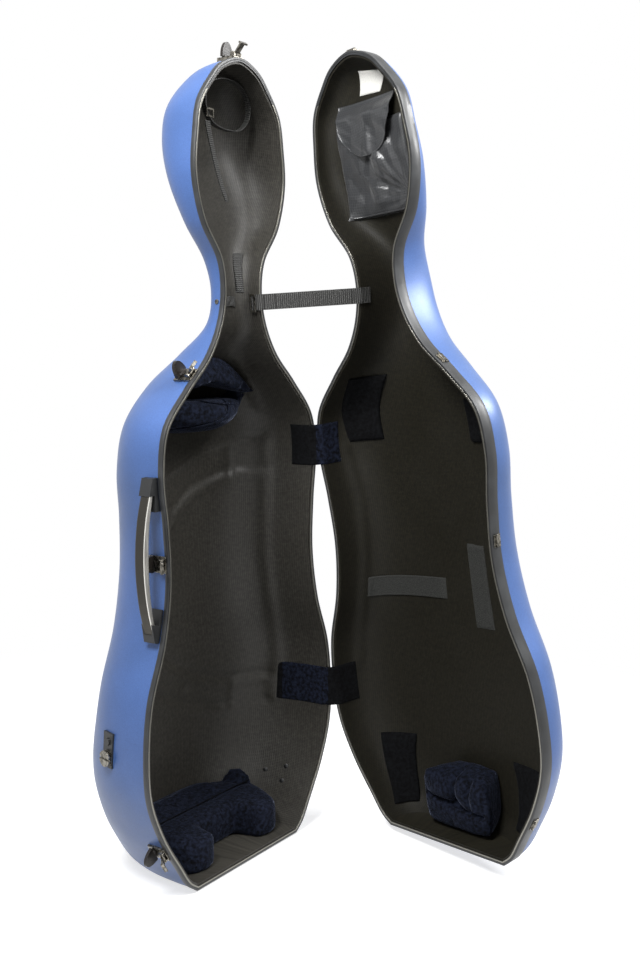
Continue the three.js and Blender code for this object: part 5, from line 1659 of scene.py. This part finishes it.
@dataclass
class HingeCover:
    """A plush cover over a hinge, lying on both linings with the lid open."""

    finishes: Finishes
    name: str
    middle: float
    body_reach: float
    lid_reach: float
    black: tuple[Stripe, ...]
    span: float = 72.0
    length: float = 130.0
    thickness: float = 2.8
    lump: float = 30.0
    rows: int = 40
    columns: int = 90

    def line(self, height: float, inset: float) -> Points:
        """Gives the path at a height from the body's wall to the opened lid's, at an inset."""
        shares = np.linspace(1, 0, 10)
        sides = []
        for half, reach in ((Half.BODY, self.body_reach), (Half.LID, self.lid_reach)):
            start = CASE.angle_at(half, CASE.edge_plane + reach, height)
            sides.append(CASE.wall(half, height, start * shares, inset))
        return np.vstack([sides[0], CASE.opened(sides[1])[::-1]])

    def grid(self, inset: float) -> Points:
        """Gives the cover's surface at an inset."""
        heights = np.linspace(self.middle - self.span / 2, self.middle + self.span / 2, self.rows)
        return np.stack([Shape.resampled(self.line(z, inset), self.columns) for z in heights])

    def build(self) -> None:
        """Builds the cover."""
        down, across = Shape.shares(self.rows, self.columns)
        low, high = self.grid(CASE.lining_inner + 0.1), self.grid(CASE.pad_inset + self.thickness)
        uneven = Shape.waves(down * self.span, across * self.length, 3, self.lump)
        full = Shape.pillow(down, across, 14) * (0.9 + 0.1 * uneven)
        face = low + (high - low) * (0.25 + 0.75 * full)[..., None]
        cover = Maker.slab(f"hinge_cover_{self.name}_plush", face, low, self.finishes.velvet)
        cover.data.materials.append(self.finishes.black_velvet)
        uvs = cover.data.uv_layers[0].data
        whole = max(uv.uv[0] for uv in uvs)
        for polygon in cover.data.polygons:
            share = uvs[polygon.loop_start].uv[0] / whole
            polygon.material_index = int(any(s.start <= share < s.end for s in self.black))
        settle(cover, None, "velvet", f"hinge_cover_{self.name}")
        body_edge = CASE.wall(Half.BODY, self.middle, 0.0, CASE.pad_inset).reshape(3)
        lid_edge = CASE.opened(CASE.wall(Half.LID, self.middle, 0.0, CASE.pad_inset)).reshape(3)
        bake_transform(cover)
        LOG.info("covered the %s hinge", self.name)


@dataclass
class StayStrap:
    """The webbing stay across the neck that stops the lid."""

    finishes: Finishes
    share: float = 0.7105
    width: float = 26.0
    thickness: float = 1.6
    tail: float = 20.0
    over_rim: float = 1.5
    clear: float = 0.3
    kept: float = 0.04
    tucked: float = 17.0
    steps: int = 150
    # The stretches of the path, by step, where the ends are turned back and stitched.
    stitched: tuple[tuple[int, int], ...] = ((104, 124), (20, 34))

    def build(self) -> None:
        """Builds the strap with its stitched-back ends."""
        height = float(CASE.up(self.share))
        inset = CASE.pad_inset + self.thickness / 2 + self.clear
        sides = []
        for half in Half:
            start = CASE.angle_at(half, CASE.edge_plane + self.tail, height)
            wall = CASE.wall(half, height, np.array([start, start * 0.66, start * 0.33, 0.0]), inset)
            edge = [[float(CASE.outline.at(height, inset)), -half.value * self.over_rim, height]]
            sides.append(np.vstack([wall, edge]))
        opened = CASE.opened(sides[1])
        axis = CASE.hinge_axis
        path = Shape.resampled(np.vstack([sides[0], opened[::-1]]), self.steps, 3)
        run = Shape.band(path, axis, self.width, self.thickness)
        pieces = [Maker.slab("stay_strap_run", *run, self.finishes.webbing)]
        for low, high in self.stitched:
            for side in (-1, 1):
                stretch = path[low:high]
                normal = unit(np.cross(unit(np.gradient(stretch, axis=0)), axis))
                lifted = stretch + side * normal * self.thickness * 1.05
                grids = Shape.band(lifted, axis, self.width * 0.96, self.thickness)
                pieces.append(Maker.slab("stay_strap_end", *grids, self.finishes.webbing))
        strap = Maker.joined("stay_strap_webbing", pieces)
        settle(strap, "case_body", "webbing", "stay_strap")
        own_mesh(strap)
        LOG.info("hung the stay strap")


@dataclass
class ScrollStrap:
    """The webbing loop under the crown that holds the scroll, and its free end."""

    finishes: Finishes
    depth: float = 34.0
    width: float = 10.0
    thickness: float = 1.6
    left: float = -46.0
    right: float = 68.0
    height: float = 79.0
    crown_gap: float = 27.0
    corner: float = 22.0
    tail_length: float = 126.0
    lean: float = 20.0
    drift: float = 22.0
    curl: float = 3.0
    ripple: float = 0.5
    tail_width: tuple[float, float] = (12.0, 8.0)
    top: Place = (-46.0, 32.9, 1231.0)

    def ring(self, grow: float, y: float, count: int = 120) -> Points:
        """Gives the loop's ring at a depth, grown outwards."""
        a, b = (self.right - self.left) / 2, self.height / 2
        power = 1 - self.corner / (2 * (a + b))
        angle = np.arange(count) * 2 * math.pi / count
        cosine, sine = np.cos(angle), np.sin(angle)
        ripple = self.ripple * np.sin(5 * angle + 0.7) * smooth_step(-sine, 0.2, 0.8)
        x = (self.left + self.right) / 2 + (a + grow + ripple) * np.sign(cosine) * np.abs(cosine) ** power
        z = CASE.height - self.crown_gap - b + (b + grow + ripple) * np.sign(sine) * np.abs(sine) ** power
        return np.stack([x, np.full(count, y), z], 1)

    def build(self) -> None:
        """Builds the loop and its free end."""
        near, far = self.depth, self.depth + self.width
        profile = [(0, near), (0, far), (self.thickness, far - 0.3), (self.thickness, near + 0.3)]
        rings = [self.ring(grow, y) for grow, y in profile]
        loop = Maker.rings("scroll_strap_webbing", rings, self.finishes.webbing, sharp=60.0)
        settle(loop, "case_body", "webbing", "scroll_strap")
        share = np.linspace(0, 1, 60)
        curl = self.curl * np.sin(share * 5.0) * share * (1 - share)
        fall = np.stack([self.drift * share**2 + curl, -self.lean * share, -self.tail_length * share], 1)
        widths = self.tail_width[0] + (self.tail_width[1] - self.tail_width[0]) * share
        sides = Shape.band(np.array(self.top) + fall, (1, 0, 0), widths, self.thickness)
        tail = Maker.slab("scroll_strap_tail_webbing", *sides, self.finishes.webbing)
        settle(tail, "case_body", "webbing", "scroll_strap_tail")
        LOG.info("tied the scroll strap")


@dataclass
class NeckStrap:
    """The strap round the neck: a sewn-on end up the wall and a crumpled band behind the neck."""

    finishes: Finishes
    tab_middle: float = 0.7474
    tab_height: float = 66.0
    tab_width: float = 20.0
    tab_angle: float = math.radians(50)
    band_share: float = 0.7105
    band_width: float = 16.0
    band_angles: tuple[float, float] = (math.radians(70), math.radians(128))
    thickness: float = 2.0
    clear: float = 0.05
    slack: float = 0.6
    sway: float = 2.5
    crumple: float = 2.2

    def build(self) -> None:
        """Builds both pieces, with the webbing's length along their columns."""
        across, along = Shape.shares(9, 60)
        middle = float(CASE.up(self.tab_middle))
        spread = self.tab_width / float(CASE.outline.at(middle, CASE.pad_inset))
        height = middle + self.tab_height * (along - 0.5)
        angle = self.tab_angle + spread * (across - 0.5)
        full = self.thickness * Shape.pillow(across, along, 14) + self.slack * np.sin(along * 9) ** 2
        self.lay("neck_strap", height, angle, full)
        middle = float(CASE.up(self.band_share))
        height = middle + self.band_width * (across - 0.5) + self.sway * np.sin(along * 7)
        start, end = self.band_angles
        folds = np.abs(np.sin(along * 10 + across * 2))
        rumpled = folds * smooth_step(along, 0, 0.2) * smooth_step(1 - along, 0, 0.2)
        angle = start + (end - start) * along
        self.lay("neck_strap_band", height, angle, self.thickness + self.crumple * rumpled)
        LOG.info("laid the neck strap")

    def lay(self, node: str, height: np.ndarray, angle: np.ndarray, full: np.ndarray) -> None:
        """Lays webbing of a given fullness on the body's lining and lets it stand for a solid."""
        face = CASE.wall(Half.BODY, height, angle, CASE.pad_inset + full)
        back = CASE.wall(Half.BODY, height, angle, CASE.pad_inset + self.clear)
        obj = Maker.slab(node + "_webbing", face, back, self.finishes.webbing)
        settle(obj, "case_body", "webbing", node)


@dataclass
class LidPocket:
    """The nylon bag in the lid's head, its flap and the blank patch above it."""

    finishes: Finishes
    share: float = 0.8624
    height: float = 150.0
    left: float = -72.0
    right: float = 86.0
    edge: float = 4.0
    bulge: float = 10.0
    flap_length: float = 90.0
    overhang: float = 36.0
    flap_half_width: float = 66.0
    flap_thickness: float = 2.5
    flap_taper: tuple[float, float] = (2.4, 0.55)
    clear: float = 0.6
    least: float = 0.3
    fold_depth: float = 32.0
    fan_depth: float = 3.0
    fan_folds: float = 3.2
    fan_centre: tuple[float, float] = (-60.0, 20.0)
    flap_fold_depth: float = 16.0
    ridge: float = 2.2
    ridge_place: float = 4.0
    ridge_width: float = 7.0
    bag_cloth: float = 0.6
    flap_cloth: float = 1.2
    hem_radius: float = 1.5
    hem_out: float = 0.8
    hem_row: int = 2
    hem_margin: int = 4
    patch_corners: tuple = ((16.0, 1305.0), (-44.0, 1295.0), (-21.0, 1265.0), (28.0, 1268.0))
    patch_clear: float = 0.4
    patch_full: float = 1.1
    patch_wave: float = 0.35
    patch_sunk: float = 1.0
    grid: int = 90

    def on_lid(self, x: np.ndarray, z: np.ndarray, lift: np.ndarray) -> Points:
        """Gives points of the lid's lining, lifted off it."""
        reach = CASE.outline.at(z, CASE.pad_inset) - self.edge
        x = np.clip(x, -reach, reach)
        return np.stack([x, lift - CASE.wall_depth(Half.LID, x, z, CASE.pad_inset), z], -1)

    def bag(self) -> None:
        """Builds the bag, gathered at its sides and creased all over."""
        up, across = Shape.shares(self.grid, self.grid)
        low = float(CASE.up(self.share)) - self.height / 2
        x = self.left + (self.right - self.left) * across
        z = low + self.height * up
        fill = np.sqrt(np.clip(np.sin(math.pi * up) * np.sin(math.pi * across), 0, 1))
        folds = Shape.creases(x, z, 11, 5) - 0.5
        turn = np.arctan2(x - self.fan_centre[0], z - low - self.fan_centre[1])
        fan = np.abs(((turn * self.fan_folds) % 1) * 2 - 1) - 0.5
        rumpled = self.fold_depth * folds + self.fan_depth * fan
        lift = self.edge * Shape.pillow(up, across, 30) + self.bulge * fill + fill * rumpled
        face = self.on_lid(x, z, np.clip(lift, self.least, None))
        bag = Maker.lid_cloth("pocket_bag", face, self.bag_cloth, self.finishes.nylon)
        settle(bag, "lid", "nylon_cloth", "pocket")
        line = face[self.hem_row][self.hem_margin : -self.hem_margin] + (0, self.hem_out, 0)
        hem = Maker.tube("pocket_hem", line, self.hem_radius, self.finishes.nylon, True)
        settle(hem, "lid", "nylon_cloth")
        self.declare(bag, face)

    def declare(self, obj: Piece, face: Points) -> None:
        """Says what size a piece's cloth was cut to, measured over its folds.

        Args:
            obj: The piece.
            face: Its front grid.
        """
        across = float(np.linalg.norm(np.diff(face, axis=1), axis=2).sum(1).max() * MM)
        down = float(np.linalg.norm(np.diff(face, axis=0), axis=2).sum(0).max() * MM)
        falling, rising = face[1:, 1:] - face[:-1, :-1], face[1:, :-1] - face[:-1, 1:]
        area = float(np.linalg.norm(np.cross(falling, rising), axis=-1).sum() / 2 * MM * MM)
        area = min(area, across * down)
        LOG.info("%s is cut from %.3f by %.3f m, %.4f square metres", obj.name, across, down, area)

    def flap(self) -> None:
        """Builds the flap, which hangs to a rounded point over the bag."""
        down, across = Shape.shares(self.grid, self.grid)
        top = float(CASE.up(self.share)) + self.height / 2 + self.overhang
        power, root = self.flap_taper
        half = self.edge + (self.flap_half_width - self.edge) * np.clip(1 - down**power, 0, 1) ** root
        z = top - self.flap_length * down
        x = (self.left + self.right) / 2 + half * (2 * across - 1)
        clear = self.edge + self.bulge + self.clear
        rise = self.least + (clear - self.least) * smooth_step(top - z, 0, 26)
        from_ridge = (x - self.ridge_place) / self.ridge_width
        ridge = self.ridge * np.exp(-(from_ridge**2)) * smooth_step(down, 0.1, 0.5)
        folds = (Shape.creases(x, z, 23, 5) - 0.4) * self.flap_fold_depth * smooth_step(down, 0.02, 0.3)
        hem = 0.5 * (1 - Shape.pillow(np.maximum(down, 0.5), across, 26))
        face = self.on_lid(x, z, rise + self.flap_thickness + ridge + folds + hem)
        flap = Maker.lid_cloth("pocket_flap_cloth", face, self.flap_cloth, self.finishes.nylon)
        settle(flap, "lid", "nylon_cloth", "pocket_flap")
        self.declare(flap, face)

    def label(self) -> None:
        """Builds the blank patch on the lining."""
        down, across = Shape.shares(24, 24)
        corners = np.array(self.patch_corners)
        flat = (
            corners[0] * ((1 - down) * (1 - across))[..., None]
            + corners[1] * ((1 - down) * across)[..., None]
            + corners[2] * (down * across)[..., None]
            + corners[3] * (down * (1 - across))[..., None]
        )
        x, z = flat[..., 0], flat[..., 1]
        wavy = self.patch_wave * Shape.waves(x, z, 2, 30)
        lift = self.patch_full * Shape.pillow(down, across, 20) + wavy
        face = self.on_lid(x, z, lift + self.patch_clear)
        back = self.on_lid(x, z, np.full_like(lift, -self.patch_sunk))
        patch = Maker.slab("blank_patch", face, back, self.finishes.patch, True)
        settle(patch, "lid", "nylon_cloth")
        self.declare(patch, face)

    def build(self) -> None:
        """Builds the pocket's pieces."""
        self.bag()
        self.flap()
        self.label()


@dataclass
class SmallFasteners:
    """Screws on the handle's brackets and rivets on the body's lining."""

    finishes: Finishes
    screw: tuple = ((0.0, -0.5), (3.6, -0.5), (3.6, 0.6), (3.2, 1.4), (2.2, 2.1), (1.0, 2.4), (0.0, 2.45))
    rivet: tuple = ((0.0, -1.0), (4.6, -1.0), (4.8, 0.3), (4.0, 1.4), (2.4, 2.1), (0.0, 2.4))
    rivet_places: tuple = ((85.0, 0.36), (95.0, 0.17), (72.0, 0.17))
    from_end: float = 8.0
    out: float = 6.9
    behind: float = 20.0

    def build(self) -> None:
        """Builds every fastener."""
        for end in ("upper", "lower"):
            low, high = (np.array(corner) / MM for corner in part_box(f"handle_bracket_{end}"))
            height = high[2] - self.from_end if end == "upper" else low[2] + self.from_end
            place = (-float(CASE.outline.at(height)) - self.out, self.behind, height)
            name = f"handle_screw_{end}"
            dome = Maker.turned(name, self.screw, place, (-1, 0, 0), self.finishes.nickel)
            settle(dome, "case_body", "nickel_plate")
        for number, (height, angle) in enumerate(self.rivet_places):
            foot = CASE.wall(Half.BODY, height, angle, CASE.lining_inner).reshape(3)
            tip = CASE.wall(Half.BODY, height, angle, CASE.lining_inner + 5).reshape(3)
            name = f"lining_rivet_{number + 1}"
            rivet = Maker.turned(name, self.rivet, foot, tip - foot, self.finishes.plastic)
            settle(rivet, "case_body", "black_plastic")
        LOG.info("set the screws and rivets")


@dataclass
class Hardware:
    """The rigid fittings, which keep their solids and get their finishes."""

    finishes: Finishes
    sharp: float = 28.0

    def dress(self) -> None:
        """Gives each rigid solid its finish."""
        by_slot = {
            "nickel_plate": self.finishes.nickel,
            "turn_plastic": self.finishes.turn_plastic,
            "black_plastic": self.finishes.plastic,
            "brushed_grip": self.finishes.steel,
            "black_rubber": self.finishes.edging,
            "webbing": self.finishes.webbing,
            "nylon_cloth": self.finishes.nylon,
            "velvet": self.finishes.velvet,
            "lining_foam": self.finishes.lining,
            "lacquered_shell": self.finishes.lacquer,
            "rim_strip": self.finishes.strip,
        }
        for part in frame["record"]["subparts"]:
            obj = frame["nodes"][part["node"]]
            obj.data.materials.clear()
            plated = part["node"] == "strap_stud"
            obj.data.materials.append(self.finishes.nickel if plated else by_slot[part["material_slot"]])
            obj.data.shade_smooth()
            obj.data.set_sharp_from_angle(angle=math.radians(self.sharp))
        LOG.info("dressed %d solids", len(frame["nodes"]))


@dataclass(frozen=True)
class Lamp:
    """A square soft light: where it stands, what it faces, its side in metres and its strength in watts."""

    name: str
    place: Place
    aim: Place
    size: float
    power: float

    def hang(self) -> None:
        """Adds the lamp to the scene."""
        data = bpy.data.lights.new(self.name, "AREA")
        data.shape = "SQUARE"
        data.size = self.size
        data.energy = self.power
        obj = bpy.data.objects.new(self.name, data)
        obj.location = self.place
        obj.rotation_euler = (Vector(self.aim) - Vector(self.place)).to_track_quat("-Z", "Y").to_euler()
        bpy.context.scene.collection.objects.link(obj)


@dataclass
class Studio:
    """The pale floor, the soft lights, the white surround and the camera."""

    camera_place: Place = (-1.5985, -1.3010, 0.8994)
    heading: float = -0.97953
    pitch: float = 0.10532
    roll: float = -0.0049
    lens: float = 46.02
    shift: float = -0.0205
    floor_size: float = 14.0
    shadow_reach: tuple[float, float] = (0.5, 1.5)
    shadow_lift: float = 0.7
    light: float = 0.1
    lamps: tuple[Lamp, ...] = (
        Lamp("key_left", (-1.2, -0.3, 1.95), (-0.15, 0.0, 1.25), 0.6, 54),
        Lamp("fill_front", (-0.05, -1.7, 2.3), (0.0, 0.1, 0.7), 0.8, 60),
        Lamp("rim_right", (1.25, -1.5, 1.85), (0.45, -0.3, 1.15), 0.6, 36),
        Lamp("top", (0.1, -0.3, 3.0), (0.1, -0.2, 0.6), 1.4, 20),
    )

    def near_white(self, tree: Tree, paint: Socket) -> Socket:
        """Lets the floor be white to the eye, while the object's shadow stays on it.

        Args:
            tree: The floor material's node tree.
            paint: The plain painted floor.

        Returns:
            The shader socket.
        """
        rays = add_node(tree, "ShaderNodeLightPath")
        where = add_node(tree, "ShaderNodeTexCoord").outputs["Object"]
        away = add_node(tree, "ShaderNodeVectorMath", {"operation": "LENGTH"}, {0: where}).outputs["Value"]
        start, end = self.shadow_reach
        reach = {"interpolation_type": "SMOOTHSTEP", "From Min": start, "From Max": end}
        far = add_node(tree, "ShaderNodeMapRange", reach, {"Value": away}).outputs["Result"]
        lift = add_node(tree, "ShaderNodeEmission", {"Strength": self.shadow_lift}).outputs[0]
        near = add_node(tree, "ShaderNodeAddShader", {}, {0: paint, 1: lift}).outputs[0]
        white = add_node(tree, "ShaderNodeEmission", {"Strength": 1.0}).outputs[0]
        seen = add_node(tree, "ShaderNodeMixShader", {}, {0: far, 1: near, 2: white}).outputs[0]
        looks = self.looks(tree, rays)
        return add_node(tree, "ShaderNodeMixShader", {}, {0: looks, 1: paint, 2: seen}).outputs[0]

    def looks(self, tree: Tree, rays: Node) -> Socket:
        """Tells a ray that looks, straight or by reflection, from one that gathers light."""
        kinds = [rays.outputs[f"Is {kind} Ray"] for kind in ("Camera", "Glossy", "Transmission")]
        either = {"operation": "MAXIMUM"}
        first = add_node(tree, "ShaderNodeMath", either, {0: kinds[0], 1: kinds[1]}).outputs[0]
        return add_node(tree, "ShaderNodeMath", either, {0: first, 1: kinds[2]}).outputs[0]

    def floor(self) -> None:
        """Makes the floor."""
        paint = Finish(name="pale_studio_floor", colour="#c4c4c4", roughness=0.9, specular=0.1)
        material, tree, shader = paint.start()
        where = paint.coordinates(tree, Placement.SPACE)
        tree.links.new(paint.bump(tree, paint.noise(tree, where, 4.0), 0.02), shader.inputs["Normal"])
        output = tree.nodes["Material Output"]
        tree.links.new(self.near_white(tree, shader.outputs[0]), output.inputs["Surface"])
        half = self.floor_size / 2
        corners = [(-half, -half, 0), (half, -half, 0), (half, half, 0), (-half, half, 0)]
        data = bpy.data.meshes.new("floor")
        data.from_pydata(corners, [], [(0, 1, 2, 3)])
        data.materials.append(material)
        obj = bpy.data.objects.new("floor", data)
        bpy.context.scene.collection.objects.link(obj)

    def surround(self) -> None:
        """Makes the world: white to the eye, an even soft grey as light."""
        world = bpy.data.worlds.new("surround")
        bpy.context.scene.world = world
        world.use_nodes = True
        tree = world.node_tree
        tree.nodes.clear()
        seen = self.looks(tree, add_node(tree, "ShaderNodeLightPath"))
        white = add_node(tree, "ShaderNodeBackground", {"Color": (1, 1, 1, 1), "Strength": 1.0})
        soft = add_node(tree, "ShaderNodeBackground", {"Color": (1, 1, 1, 1), "Strength": self.light})
        mixed = add_node(tree, "ShaderNodeMixShader", {}, {0: seen, 1: soft.outputs[0], 2: white.outputs[0]})
        add_node(tree, "ShaderNodeOutputWorld", {}, {"Surface": mixed.outputs[0]})

    def camera(self) -> None:
        """Sets the camera to the photograph's view."""
        data = bpy.data.cameras.new("camera")
        data.lens = self.lens
        data.sensor_width = 36.0
        data.shift_y = self.shift
        obj = bpy.data.objects.new("camera", data)
        turn = Matrix.Rotation(self.heading, 4, "Z") @ Matrix.Rotation(math.pi / 2 - self.pitch, 4, "X")
        obj.matrix_world = Matrix.Translation(self.camera_place) @ turn @ Matrix.Rotation(self.roll, 4, "Z")
        bpy.context.scene.collection.objects.link(obj)
        bpy.context.scene.camera = obj

    def build(self) -> None:
        """Sets up the whole studio."""
        self.floor()
        self.surround()
        for lamp in self.lamps:
            lamp.hang()
        self.camera()
        bpy.context.scene.view_settings.view_transform = "Standard"
        LOG.info("set the studio")


def main() -> None:
    """Builds the case piece by piece."""
    logging.basicConfig(level=logging.INFO, format="%(name)s: %(message)s")
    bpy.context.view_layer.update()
    finishes = Finishes()
    Studio().build()
    Hardware(finishes).dress()
    HalfCase(Half.BODY, finishes).build(BODY_RELIEF)
    HalfCase(Half.LID, finishes, band_width=20.0).build(LID_RELIEF)
    LiningPads(finishes).build()
    black = (Stripe(0.0, 0.5),)
    HingeCover(finishes, "upper", middle=697.0, body_reach=44.0, lid_reach=38.0, black=black).build()
    black = (Stripe(0.0, 0.08), Stripe(0.62, 1.01))
    HingeCover(finishes, "lower", middle=246.0, body_reach=112.0, lid_reach=46.0, black=black).build()
    StayStrap(finishes).build()
    ScrollStrap(finishes).build()
    NeckStrap(finishes).build()
    LidPocket(finishes).build()
    SmallFasteners(finishes).build()
    Cushions(finishes).build()


if __name__ == "__main__":
    main()
